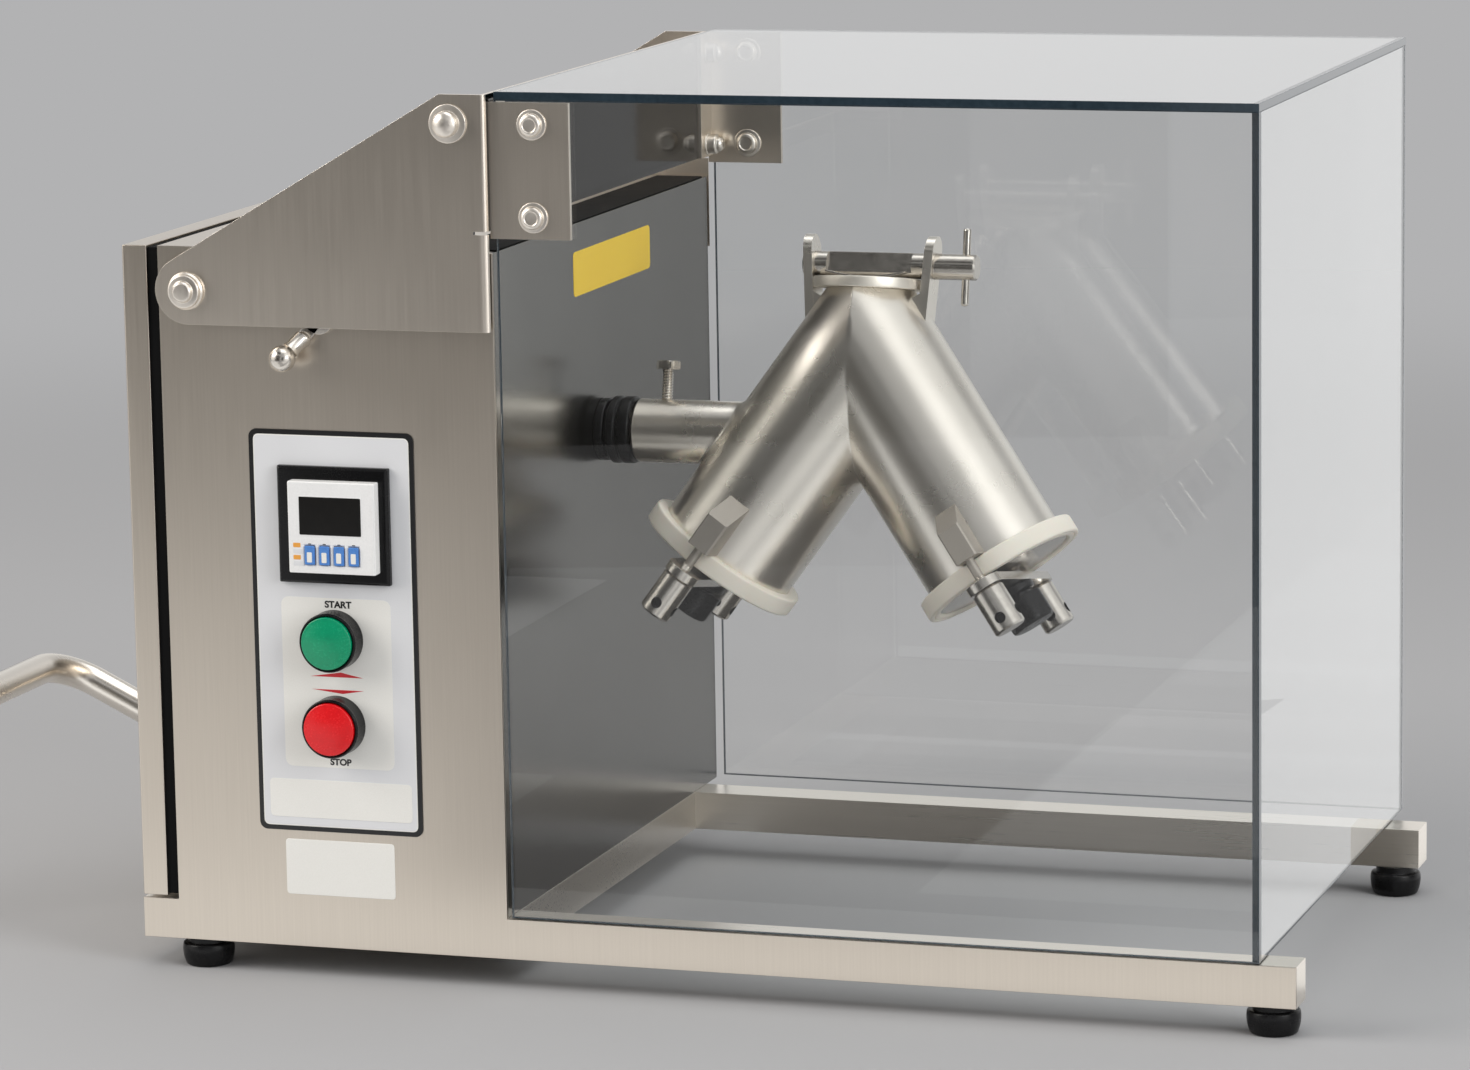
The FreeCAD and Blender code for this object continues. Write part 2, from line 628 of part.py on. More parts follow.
def front_plate():
    """One sheet that covers the cabinet front and the front rail, with its control openings."""
    body = new_body()
    outline = [
        (0, 0), (base_length, 0), (base_length, base_height), (wall_face, base_height),
        (wall_face, cabinet_top), (cabinet_left, cabinet_top), (cabinet_left, base_height), (0, base_height),
    ]
    pad(body, sketch_on(body, "XZ_Plane", [outline]), plate_gauge, flip=True)
    half = timer_body_side / 2
    window = [
        (timer_place - half, timer_rise - half), (timer_place + half, timer_rise - half),
        (timer_place + half, timer_rise + half), (timer_place - half, timer_rise + half),
    ]
    holes = [
        (button_place, start_rise, button_barrel_radius),
        (button_place, stop_rise, button_barrel_radius),
        (pivot_place, pivot_rise, pivot_shank_radius),
        (latch_place, latch_rise, latch_pin_radius + running_fit),
    ]
    pocket(body, sketch_on(body, "XZ_Plane", [window], holes), plate_gauge, flip=False)
    node("front_plate", body)


def cabinet_shell():
    """Folded cabinet: floor, back, top and a left frame round the service opening."""
    left, front = cabinet_left, plate_gauge
    right = wall_face - shell_gauge
    outer = box(left, front, base_height, right - left, cabinet_depth - front, cabinet_top - base_height)
    hollow = box(
        left + shell_gauge, 0, base_height + shell_gauge,
        right - left, cabinet_depth - shell_gauge, cabinet_top - base_height - shell_gauge * 2,
    )
    window = box(
        left - shell_gauge, front + window_margin, base_height + window_margin, shell_gauge * 3,
        cabinet_depth - front - window_margin * 2, cabinet_top - base_height - window_margin * 2,
    )
    inlet = box(
        inlet_place - inlet_body_width / 2, cabinet_depth - shell_gauge * 2,
        inlet_rise - inlet_body_height / 2, inlet_body_width, shell_gauge * 3, inlet_body_height,
    )
    pivot = rod(pivot_shank_radius, shell_gauge * 3, pivot_place, cabinet_depth - shell_gauge * 2,
                pivot_rise, TOWARD_BACK)
    node("cabinet_shell", cut(outer, hollow, window, inlet, pivot))


def partition_wall():
    sheet_box = box(wall_face - shell_gauge, plate_gauge, base_height, shell_gauge,
                    cabinet_depth - plate_gauge, cabinet_top - base_height)
    hole = rod(seal_spigot_radius, shell_gauge * 3, wall_face - shell_gauge * 2, shaft_depth, shaft_rise,
               TOWARD_RIGHT)
    node("partition_wall", cut(sheet_box, hole))


def cover_gasket():
    inset, width = gasket_inset, gasket_width
    bottom = base_height + cover_foot + inset
    outer = box(cover_depth, inset, bottom, gasket_gap, cabinet_depth - inset * 2, cabinet_top - inset - bottom)
    inner = box(cover_depth - gasket_gap, inset + width, bottom + width, gasket_gap * 3,
                cabinet_depth - (inset + width) * 2, cabinet_top - inset - bottom - width * 2)
    node("cover_gasket", cut(outer, inner))


def service_cover():
    """Pan-shaped left cover with rounded folded edges."""
    bottom = base_height + cover_foot
    body = new_body(place(0, 0, bottom))
    tall = cabinet_top - bottom
    face = [(0, 0), (cabinet_depth, 0), (cabinet_depth, tall), (0, tall)]
    pad(body, sketch_on(body, "YZ_Plane", [face]), cover_depth)
    dress(body, "Fillet", shell_gauge / 2,
          lambda edge: all(abs(vertex.X) < 1e-6 for vertex in edge.Vertexes))
    inner = [
        (shell_gauge, shell_gauge), (cabinet_depth - shell_gauge, shell_gauge),
        (cabinet_depth - shell_gauge, tall - shell_gauge), (shell_gauge, tall - shell_gauge),
    ]
    pocket(body, sketch_on(body, "YZ_Plane", [inner], lift=shell_gauge), cover_depth, flip=True)
    node("service_cover", body)


def carry_handle():
    """Bent tube: a sloping post, one bend and a straight grip that runs forward, on a welded flange."""
    post = handle_reach / cosine(handle_tilt)
    body = new_body(place(0, shaft_depth, handle_foot, "0; 1; 0", handle_tilt))
    path = body.newObject("Sketcher::SketchObject", "route")
    path.AttachmentSupport = [([item for item in body.Origin.OriginFeatures if item.Role == "XY_Plane"][0], "")]
    path.MapMode = "FlatFace"
    far, bend, grip = -post.amount, handle_bend.amount, -handle_grip.amount
    corner = FreeCAD.Vector(far + bend, -bend, 0)
    path.addGeometry(Part.LineSegment(FreeCAD.Vector(0, 0, 0), FreeCAD.Vector(far + bend, 0, 0)))
    path.addGeometry(Part.ArcOfCircle(Part.Circle(corner, FreeCAD.Vector(0, 0, 1), bend), math.pi / 2, math.pi))
    path.addGeometry(Part.LineSegment(FreeCAD.Vector(far, -bend, 0), FreeCAD.Vector(far, grip, 0)))
    tie_point(path, 0, 1, (0, 0))
    tie_point(path, 0, 2, (handle_bend - post, 0))
    path.addConstraint(Sketcher.Constraint("Coincident", 0, 2, 1, 1))
    path.addConstraint(Sketcher.Constraint("Coincident", 1, 2, 2, 1))
    tie_point(path, 2, 1, (-post, -handle_bend))
    index = path.addConstraint(Sketcher.Constraint("Radius", 1, bend))
    path.setExpression(f"Constraints[{index}]", handle_bend.text)
    tie_point(path, 2, 2, (-post, -handle_grip))
    ring = sketch_on(body, "YZ_Plane", [], [(0, 0, handle_radius), (0, 0, handle_radius - handle_wall)])
    pipe = body.newObject("PartDesign::AdditivePipe", "tube")
    pipe.Profile = ring
    pipe.Spine = path
    doc.recompute()
    cap = rod(handle_radius, handle_wall * 2, -post, handle_wall * 2 - handle_grip, 0, TOWARD_FRONT)
    settle(cap, f"{place(0, shaft_depth, handle_foot, '0; 1; 0', handle_tilt)} * {local_place[cap.Name]}")
    inside = box(-flange_gauge, 0, 0, overrun, cabinet_depth, cabinet_top)
    flange = rod(flange_radius, flange_gauge, -flange_gauge, shaft_depth, handle_foot, TOWARD_RIGHT)
    node("carry_handle", fuse(cut(fuse(body, cap), inside), flange))


def pivot_bolts():
    """Two shoulder bolts that carry the guard arms, with a spacing collar and a domed head."""
    shoulder = arm_gap - axial_gap
    head = arm_gap + yoke_gauge + axial_gap
    profile = [
        (0, -pivot_depth), (pivot_shank_radius, -pivot_depth), (pivot_shank_radius, 0),
        (pivot_collar_radius, 0), (pivot_collar_radius, shoulder), (pivot_radius, shoulder),
        (pivot_radius, head), (pivot_head_radius, head), (pivot_head_radius, head + pivot_head),
        (pivot_dome_radius, head + pivot_head), (pivot_dome_radius * 0.8, head + pivot_head + pivot_dome * 0.7),
        (0, head + pivot_head + pivot_dome),
    ]
    front = turned(profile, place(pivot_place, 0, pivot_rise, *TOWARD_FRONT))
    rear = turned(profile, place(pivot_place, cabinet_depth, pivot_rise, *TOWARD_BACK))
    node("pivot_bolts", group(front, rear))


def rubber_feet():
    profile = [
        (0, -foot_height), (foot_radius - foot_edge, -foot_height), (foot_radius, foot_edge - foot_height),
        (foot_radius, -foot_neck_height - foot_edge), (foot_radius - foot_edge, -foot_neck_height),
        (foot_neck_radius, -foot_neck_height), (foot_neck_radius, 0), (0, 0),
    ]
    node("rubber_feet", group(*[turned(profile, place(x, y, 0)) for x, y in foot_places()]))


def control_overlay():
    """Thin panel plate on the front face with openings for the timer and the buttons."""
    body = new_body()
    right, top = panel_left + panel_width, panel_bottom + panel_height
    outline = [(panel_left, panel_bottom), (right, panel_bottom), (right, top), (panel_left, top)]
    pad(body, sketch_on(body, "XZ_Plane", [outline]), panel_gauge)
    dress(body, "Fillet", panel_corner, lambda edge: runs_along(edge, FreeCAD.Vector(0, 1, 0)))
    half = timer_body_side / 2
    window = [
        (timer_place - half, timer_rise - half), (timer_place + half, timer_rise - half),
        (timer_place + half, timer_rise + half), (timer_place - half, timer_rise + half),
    ]
    holes = [(button_place, rise, button_barrel_radius) for rise in (start_rise, stop_rise)]
    pocket(body, sketch_on(body, "XZ_Plane", [window], holes), panel_gauge, flip=True)
    node("control_overlay", body)


def square(x, z, side, front, depth):
    """A square block centred on (x, z) whose front face is at the given distance before the front plate."""
    return box(x - side / 2, -front, z - side / 2, side, depth, side)


def timer():
    """Timer: black bezel and body, white raised face, and four keys that press into the face."""
    rim_front = panel_gauge + timer_bezel
    bezel = new_body()
    half = timer_side / 2
    outline = [
        (timer_place - half, timer_rise - half), (timer_place + half, timer_rise - half),
        (timer_place + half, timer_rise + half), (timer_place - half, timer_rise + half),
    ]
    pad(bezel, sketch_on(bezel, "XZ_Plane", [outline], lift=panel_gauge), timer_bezel)
    dress(bezel, "Chamfer", timer_edge,
          lambda edge: all(abs(vertex.Y + rim_front.amount) < 1e-6 for vertex in edge.Vertexes))
    inner = square(timer_place, timer_rise, timer_body_side, panel_gauge, panel_gauge + timer_body)
    node("timer_case", fuse(bezel, inner))
    face = square(timer_face_place, timer_rise, timer_face_side, rim_front + timer_face, timer_face)
    front = rim_front + timer_face
    depth = key_gauge - key_stand
    pockets, keys = [], []
    for i in range(4):
        x = timer_face_place + key_pitch * (i - 1.5)
        z = timer_rise - key_drop
        pockets.append(box(
            x - key_width / 2 - key_gap, -front - key_stand, z - key_height / 2 - key_gap,
            key_width + key_gap * 2, key_stand + depth + key_travel * 2, key_height + key_gap * 2,
        ))
        keys.append(box(x - key_width / 2, -front - key_stand, z - key_height / 2,
                        key_width, key_gauge, key_height))
    node("timer_face", cut(face, *pockets))
    for i, key in enumerate(keys):
        node(f"timer_key_{i + 1}", key)


def push_button(label, rise):
    """Chromed bezel with a threaded barrel, and a domed cap whose stem slides in the barrel."""
    floor = panel_gauge + button_floor
    rim = panel_gauge + button_bezel
    inner = button_radius - button_rim
    bore = stem_radius + loose_gap
    way = place(button_place, 0, rise, *TOWARD_FRONT)
    bezel = turned([
        (bore, -button_barrel), (button_barrel_radius, -button_barrel), (button_barrel_radius, panel_gauge),
        (button_radius, panel_gauge), (button_radius, rim - button_rim / 2),
        (button_radius - button_rim / 2, rim), (inner, rim), (inner, floor), (bore, floor),
    ], way)
    node(f"{label}_bezel", bezel)
    seat = floor + cap_lift
    crown = rim + cap_stand
    cap = turned([
        (0, -stem_depth), (stem_radius, -stem_depth), (stem_radius, seat), (inner - loose_gap, seat),
        (inner - loose_gap, crown - cap_crown), (cap_edge_radius, crown - cap_crown * 0.3), (0, crown),
    ], way)
    node(f"{label}_cap", cap)


def contact_blocks():
    blocks = [
        box(button_place - contact_side / 2, button_barrel, rise - contact_side / 2,
            contact_side, contact_depth, contact_side)
        for rise in (start_rise, stop_rise)
    ]
    node("contact_blocks", group(*blocks))


def latch_lever():
    """Latch: a hub and flat arm behind the guard arm, on a pin in the plate, with a ball-ended shank riveted on."""
    back = loose_gap
    front = arm_gap - loose_gap
    pin = rod(latch_pin_radius, latch_pin_depth + back, latch_place, latch_pin_depth, latch_rise, TOWARD_FRONT)
    hub = rod(latch_hub_radius, front - back, latch_place, -back, latch_rise, TOWARD_FRONT)
    bar = box(0, 0, 0, latch_shank_start + latch_bar_margin, front - back, latch_half_width * 2)
    swing = place(latch_place, -front, latch_rise, "0; 1; 0", half_turn - latch_tilt)
    settle(bar, f"{swing} * {place(0, 0, -latch_half_width)}")
    root = place(latch_shank_start, front - latch_shank_stand, 0, "0; 0; 1", -shank_tilt)
    along = place(0, 0, 0, *TOWARD_RIGHT)
    shank = rod(latch_shank_radius, (latch_arm - latch_shank_start) / cosine(shank_tilt), 0, 0, 0)
    settle(shank, f"{swing} * {root} * {along}")
    foot = rod(latch_shank_radius, latch_shank_stand - front, 0, 0, 0)
    settle(foot, f"{swing} * {place(latch_shank_start, front - latch_shank_stand, 0, *TOWARD_BACK)}")
    rivet_seat = place(latch_shank_start - latch_rivet_shift, front - latch_shank_stand, 0, *TOWARD_BACK)
    rivet, rivet_hole = (rod(latch_rivet_radius, latch_shank_stand - back, 0, 0, 0) for _ in range(2))
    for thing in (rivet, rivet_hole):
        settle(thing, f"{swing} * {rivet_seat}")
    knob_ball = ball(ball_radius, latch_arm, front - latch_stand, 0)
    settle(knob_ball, f"{swing} * {local_place[knob_ball.Name]}")
    node("latch_lever", cut(fuse(pin, hub, bar), rivet_hole))
    node("latch_knob", fuse(shank, foot, rivet, knob_ball))


def drive_line():
    """Gearmotor on a stand, flange bearing and shaft seal, and the drive shaft with its thrust collar."""
    centre = gearbox_left + gearbox_width / 2
    block = box(gearbox_left, shaft_depth - gearbox_depth / 2, shaft_rise - gearbox_height / 2,
                gearbox_width, gearbox_depth, gearbox_height)
    hub = rod(gearbox_hub_radius, gearbox_hub_length,
              gearbox_left + gearbox_width, shaft_depth, shaft_rise, TOWARD_RIGHT)
    bore = rod(shaft_radius + running_fit, gearbox_width * 2,
               gearbox_left - gearbox_width / 2, shaft_depth, shaft_rise, TOWARD_RIGHT)
    node("gearbox", cut(fuse(block, hub), bore))

    motor = turned([
        (0, 0), (motor_neck_radius, 0), (motor_neck_radius, motor_neck_length),
        (motor_radius, motor_neck_length), (motor_radius, motor_length - motor_cowl_length),
        (motor_cowl_radius, motor_length - motor_cowl_length), (motor_cowl_radius, motor_length), (0, motor_length),
    ], place(centre, shaft_depth + gearbox_depth / 2, shaft_rise, *TOWARD_BACK))
    node("gearmotor", motor)

    floor = base_height + shell_gauge
    under = shaft_rise - gearbox_height / 2
    left, wide = gearbox_left - bracket_margin, gearbox_width + bracket_margin * 2
    near, deep = shaft_depth - gearbox_depth / 2, gearbox_depth
    top = box(left, near, under - bracket_gauge, wide, deep, bracket_gauge)
    legs = [box(x, near, floor, bracket_gauge, deep, under - floor) for x in (left, left + wide - bracket_gauge)]
    trim = box(left - bracket_gauge, near - bracket_gauge, under, wide + bracket_gauge * 2,
               deep + bracket_gauge * 2, bracket_gauge)
    node("motor_bracket", cut(fuse(top, *legs), trim))

    inner_face = wall_face - shell_gauge
    plate = box(inner_face - bearing_plate, shaft_depth - bearing_side / 2, shaft_rise - bearing_side / 2,
                bearing_plate, bearing_side, bearing_side)
    boss = rod(bearing_radius, bearing_length,
               inner_face - bearing_length, shaft_depth, shaft_rise, TOWARD_RIGHT)
    bore = rod(shaft_radius + running_fit, bearing_length * 2,
               inner_face - bearing_length * 1.5, shaft_depth, shaft_rise, TOWARD_RIGHT)
    node("flange_bearing", cut(fuse(plate, boss), bore))

    inside = shaft_radius + loose_gap
    neck_end = seal_flange + seal_neck
    seal = turned([
        (inside, -shell_gauge), (seal_spigot_radius, -shell_gauge), (seal_spigot_radius, 0),
        (seal_flange_radius, 0), (seal_flange_radius, seal_flange), (seal_neck_radius, seal_flange),
        (seal_neck_radius, neck_end), (seal_radius - seal_edge / 2, neck_end),
        (seal_radius, neck_end + seal_edge / 2), (seal_radius, seal_length - seal_edge),
        (seal_radius - seal_edge, seal_length), (inside, seal_length),
    ], place(wall_face, shaft_depth, shaft_rise, *TOWARD_RIGHT))
    node("shaft_seal", seal)

    length = shaft_end - shaft_start
    collar = gearbox_left + gearbox_width + gearbox_hub_length + loose_gap - shaft_start
    shaft = turned([
        (0, 0), (shaft_radius - shaft_chamfer, 0), (shaft_radius, shaft_chamfer), (shaft_radius, collar),
        (collar_radius, collar), (collar_radius, collar + collar_width), (shaft_radius, collar + collar_width),
        (shaft_radius, length - shaft_chamfer), (shaft_radius - shaft_chamfer, length), (0, length),
    ], place(shaft_start, shaft_depth, shaft_rise, *TOWARD_RIGHT))
    node("drive_shaft", shaft)


def leg_rods(radius, end):
    """Both leg cylinders in the shell frame, each kept on its own side of the mitre plane."""
    span = leg_length + overrun
    halves = {"left": box(-span, -span, -span, span, span * 2, span * 2),
              "right": box(0, -span, -span, span, span * 2, span * 2)}
    kept = []
    for side, half in halves.items():
        leg = rod(radius, end + overrun, 0, 0, 0)
        settle(leg, f"{LEG_IN_SHELL[side]} * {place(0, 0, -overrun)}")
        kept.append(common(leg, half))
    return fuse(*kept)


def v_shell():
    """Twin shell: two tubes mitred on the middle plane, cut level at the port and open at the leg ends."""
    span = leg_length + overrun
    outer = leg_rods(leg_radius, leg_length)
    inner = leg_rods(leg_radius - leg_wall, leg_length + overrun / 2)
    above = box(-span, -span, port_rise, span * 2, span * 2, span)
    node("v_shell", cut(outer, inner, above), SHELL)


def trunnion():
    start = trunnion_start - shell_place
    stop = -leg_apex * tangent(leg_tilt)
    tube = rod(trunnion_radius, stop - start, start, 0, 0, TOWARD_RIGHT)
    bore = rod(shaft_radius + running_fit, shaft_end - trunnion_start + bore_slack + overrun,
               start - overrun, 0, 0, TOWARD_RIGHT)
    leg = rod(leg_radius, leg_length + overrun, 0, 0, 0)
    settle(leg, f"{LEG_IN_SHELL['left']} * {place(0, 0, -overrun)}")
    thread = rod(clamp_radius + running_fit, trunnion_radius * 2, clamp_place - shell_place, 0, 0)
    node("trunnion_tube", cut(tube, bore, leg, thread), SHELL)


def clamp_bolt():
    """Hexagon bolt that clamps the trunnion on the drive shaft."""
    x = clamp_place - shell_place
    tip = shaft_radius + loose_gap
    shank = rod(clamp_radius, clamp_top - tip, x, 0, tip)
    head = prism(clamp_head_radius, clamp_head_height, x, 0, clamp_top)
    node("clamp_bolt", fuse(shank, head), SHELL)


def end_closure(side):
    """One leg end: gasket ring, recessed cover, studs in welded lugs, clamp bar, two tommy nuts and a knob."""
    frame = LEG[side]
    bore = leg_radius + running_fit
    ring_end = ring_start + ring_length
    lip = leg_length + ring_lip
    node(f"end_gasket_{side}", turned([
        (bore, ring_start), (ring_radius - ring_edge, ring_start), (ring_radius, ring_start + ring_edge),
        (ring_radius, ring_end - ring_edge), (ring_radius - ring_edge, ring_end), (bore, ring_end),
        (bore, lip), (ring_lip_radius, lip), (ring_lip_radius, leg_length), (bore, leg_length),
    ]), frame)

    face = lip + end_cover_gauge
    node(f"end_cover_{side}", turned([
        (0, lip), (leg_radius - running_fit, lip), (leg_radius - running_fit, face - ring_edge),
        (leg_radius - running_fit - ring_edge, face), (end_cover_boss_radius, face),
        (end_cover_boss_radius, face + end_cover_boss), (0, face + end_cover_boss),
    ]), frame)

    lugs = []
    outer = stud_offset + lug_wrap
    foot = ring_start - lug_gap
    for way in (1, -1):
        body = new_body()
        root = leg_radius - leg_wall * 2
        outline = [
            (root * way, lug_start), (leg_radius * way, lug_start), (outer * way, lug_shoulder),
            (outer * way, foot), (root * way, foot),
        ]
        pad(body, sketch_on(body, "YZ_Plane", [outline]), lug_half_width * 2, both=True)
        dress(body, "Chamfer", lug_edge,
              lambda edge: runs_along(edge, FreeCAD.Vector(0, 0, 1))
              and all(abs(vertex.Y) > stud_offset.amount for vertex in edge.Vertexes))
        leg = rod(leg_radius, leg_length, 0, 0, 0)
        stud = rod(stud_radius, stud_end - foot, 0, stud_offset * way, foot)
        lugs.append(fuse(cut(body, leg), stud))
    node(f"stud_lugs_{side}", group(*lugs), frame)

    bar = new_body(place(0, 0, bar_start))
    corners = [
        (-bar_half_width, -stud_offset), (bar_half_width, -stud_offset),
        (bar_half_width, stud_offset), (-bar_half_width, stud_offset),
    ]
    pad(bar, sketch_on(bar, "XY_Plane", [corners]), bar_gauge)
    ends = [(0, stud_offset * way, bar_half_width) for way in (1, -1)]
    pad(bar, sketch_on(bar, "XY_Plane", [], ends), bar_gauge)
    holes = [(0, stud_offset * way, stud_radius + running_fit) for way in (1, -1)]
    holes.append((0, 0, knob_screw_radius + running_fit))
    pocket(bar, sketch_on(bar, "XY_Plane", [], holes), bar_gauge, flip=True)
    node(f"clamp_bar_{side}", bar, frame)

    for place_name, way in (("rear", 1), ("front", -1)):
        tommy_nut(f"tommy_nut_{side}_{place_name}", frame, way)
    knob(f"knob_{side}", frame)


def tommy_nut(label, frame, way):
    """Round nut with four cross holes near its closed end."""
    bore = stud_radius + running_fit
    nut = turned([
        (bore, 0), (nut_radius - nut_edge, 0), (nut_radius, nut_edge), (nut_radius, nut_length - nut_edge),
        (nut_radius - nut_edge, nut_length), (0, nut_length), (0, nut_bore_depth), (bore, nut_bore_depth),
    ])
    holes = [
        rod(nut_hole_radius, nut_radius * 4, -nut_radius * 2, 0, nut_hole_place, TOWARD_RIGHT),
        rod(nut_hole_radius, nut_radius * 4, 0, -nut_radius * 2, nut_hole_place, TOWARD_BACK),
    ]
    spot = place(0, stud_offset * way, nut_start)
    node(label, cut(nut, *holes), f"{frame} * {spot}")


def knob(label, frame):
    """Black clamping knob: screw through the clamp bar, round flange, waist and a hexagonal grip."""
    flange_end = knob_start + knob_flange
    head_start = flange_end + knob_waist
    core = turned([
        (0, knob_screw_start), (knob_screw_radius, knob_screw_start), (knob_screw_radius, knob_start),
        (knob_flange_radius, knob_start), (knob_flange_radius, flange_end), (knob_waist_radius, flange_end),
        (knob_waist_radius, head_start), (0, head_start),
    ])
    grip = prism(knob_head_radius, knob_head, 0, 0, head_start)
    node(label, fuse(core, grip), frame)


def port_ears():
    """Two upright ears beside the discharge port that carry the cam shaft; their feet fit the leg tubes."""
    ears = []
    top = cam_rise + cam_radius
    for x in (lid_half_width + ear_gap, -lid_half_width - ear_gap - ear_gauge):
        body = new_body(place(x, 0, 0))
        outline = [
            (-ear_half_width, ear_root), (ear_half_width, ear_root),
            (ear_half_width, top), (-ear_half_width, top),
        ]
        pad(body, sketch_on(body, "YZ_Plane", [outline]), ear_gauge)
        pad(body, sketch_on(body, "YZ_Plane", [], [(0, top, ear_half_width)]), ear_gauge)
        bore = [(0, cam_rise, cam_radius + running_fit)]
        pocket(body, sketch_on(body, "YZ_Plane", [], bore), ear_gauge, flip=True)
        ears.append(body)
    legs = []
    for side in LEG_IN_SHELL:
        leg = rod(leg_radius, leg_length + overrun, 0, 0, 0)
        legs.append(settle(leg, f"{LEG_IN_SHELL[side]} * {place(0, 0, -overrun)}"))
    node("port_ears", group(cut(ears[0], legs[1]), cut(ears[1], legs[0])), SHELL)


def lid():
    """Oval plate over the discharge port."""
    body = new_body(place(0, 0, port_rise))
    corners = [
        (-lid_half_width, -lid_stretch), (lid_half_width, -lid_stretch),
        (lid_half_width, lid_stretch), (-lid_half_width, lid_stretch),
    ]
    pad(body, sketch_on(body, "XY_Plane", [corners]), lid_gauge)
    pad(body, sketch_on(body, "XY_Plane", [], [(0, lid_stretch, lid_half_width)]), lid_gauge)
    pad(body, sketch_on(body, "XY_Plane", [], [(0, -lid_stretch, lid_half_width)]), lid_gauge)
    dress(body, "Chamfer", lid_edge,
          lambda edge: all(abs(vertex.Z - lid_gauge.amount) < 1e-6 for vertex in edge.Vertexes)
          and edge.Length > lid_stretch.amount)
    node("lid", body, SHELL)


def cam_shaft():
    """Cam shaft with a milled flat and a pressed cross pin, turned to lock or free the lid."""
    shaft = rod(cam_radius, cam_left + cam_right, -cam_left, 0, cam_rise, TOWARD_RIGHT)
    flat = box(-cam_flat_reach, -cam_radius * 2, cam_flat, cam_flat_reach * 2, cam_radius * 4, cam_radius)
    settle(flat, f"{place(0, 0, cam_rise, '1; 0; 0', flat_tilt)} * {local_place[flat.Name]}")
    pin = rod(pin_radius, pin_half_length * 2, pin_place, 0, cam_rise - pin_half_length)
    node("cam_shaft", fuse(cut(shaft, flat), pin), SHELL)


def leaf_spring():
    """Bowed leaf on the lid beside the cam shaft."""
    rise = port_rise + lid_gauge + leaf_radius
    outer = rod(leaf_radius, leaf_width, 0, -leaf_front, rise, TOWARD_BACK)
    inner = rod(leaf_radius - leaf_gauge, leaf_width * 3, 0, -leaf_front - leaf_width, rise, TOWARD_BACK)
    window = box(-leaf_half_length, -leaf_front - leaf_width, port_rise, leaf_half_length * 2, leaf_width * 3,
                 leaf_radius)
    node("leaf_spring", common(cut(outer, inner), window), SHELL)


def guard_yoke():
    """Folded yoke: two arms outside the cabinet joined by a cross panel at the wall."""
    body = new_body()
    front = arm_gap + yoke_gauge
    depth = cabinet_depth + front * 2
    rear = cabinet_depth + arm_gap
    sin_slope, cos_slope = sine(arm_tilt), cosine(arm_tilt)
    corner = pivot_place + (cos_slope * (yoke_top - pivot_rise) - arm_end_radius) / sin_slope
    outline = [
        (pivot_place, pivot_rise - arm_end_radius), (wall_face, pivot_rise - arm_end_radius),
        (wall_face, yoke_top), (corner, yoke_top),
        (pivot_place - arm_end_radius * sin_slope, pivot_rise + arm_end_radius * cos_slope),
    ]
    pad(body, sketch_on(body, "XZ_Plane", [outline], lift=front), depth, flip=True)
    end = [(pivot_place, pivot_rise, arm_end_radius)]
    pad(body, sketch_on(body, "XZ_Plane", [], end, lift=front), depth, flip=True)
    inside = [
        (0, -arm_gap), (wall_face - yoke_gauge, -arm_gap), (wall_face - yoke_gauge, rear), (0, rear),
    ]
    pocket(body, sketch_on(body, "XY_Plane", [inside]), yoke_top * 2, both=True)
    below = [
        (-arm_gap, 0), (rear, 0), (rear, web_bottom), (-arm_gap, web_bottom),
    ]
    pocket(body, sketch_on(body, "YZ_Plane", [below]), wall_face * 2, flip=True)
    relief = [
        (wall_face - relief_length, web_bottom - relief_height), (wall_face, web_bottom - relief_height),
        (wall_face, web_bottom), (wall_face - relief_length, web_bottom),
    ]
    pocket(body, sketch_on(body, "XZ_Plane", [relief]), (depth + front) * 2, both=True)
    holes = [(pivot_place, pivot_rise, pivot_radius + running_fit), (tie_place, tie_rise, tie_thread_radius)]
    pocket(body, sketch_on(body, "XZ_Plane", [], holes), (depth + front) * 2, both=True)
    holes = [(y, rise, screw_radius + running_fit) for y, rise in fold_places()]
    pocket(body, sketch_on(body, "YZ_Plane", [], holes), wall_face * 3, both=True)
    dress(body, "Fillet", yoke_bend,
          lambda edge: runs_along(edge, FreeCAD.Vector(0, 0, 1)) and edge.Length > clip_height.amount
          and all(abs(vertex.X - wall_face.amount) < 1e-6 for vertex in edge.Vertexes))
    node("guard_yoke", body)


def bolt_rises():
    """Heights of the lower and upper screws of each bracket."""
    return clip_bottom + clip_bolt_inset, clip_top - clip_bolt_inset


def fold_places():
    """Where the screws hold each bracket's fold on the cross panel: y and z."""
    near = pane_front + (pane_gauge + clip_fold - clip_gauge) / 2
    far = pane_back - pane_gauge - clip_fold / 2
    return [(y, rise) for y in (near, far) for rise in bolt_rises()]


def pane_holes(end):
    """Cutters for the screws of one bracket through its pane."""
    span = cabinet_depth / 2
    start = pane_front - span if end == "front" else pane_back - span
    radius = screw_radius + running_fit
    return [rod(radius, span * 2, clip_bolt_place, start, rise, TOWARD_BACK) for rise in bolt_rises()]


def fold_holes(end):
    """Cutters for the screws of one bracket through its fold."""
    places = fold_places()[:2] if end == "front" else fold_places()[2:]
    radius = screw_radius + running_fit
    return [rod(radius, pane_gap * 3, wall_face - pane_gap, y, rise, TOWARD_RIGHT) for y, rise in places]


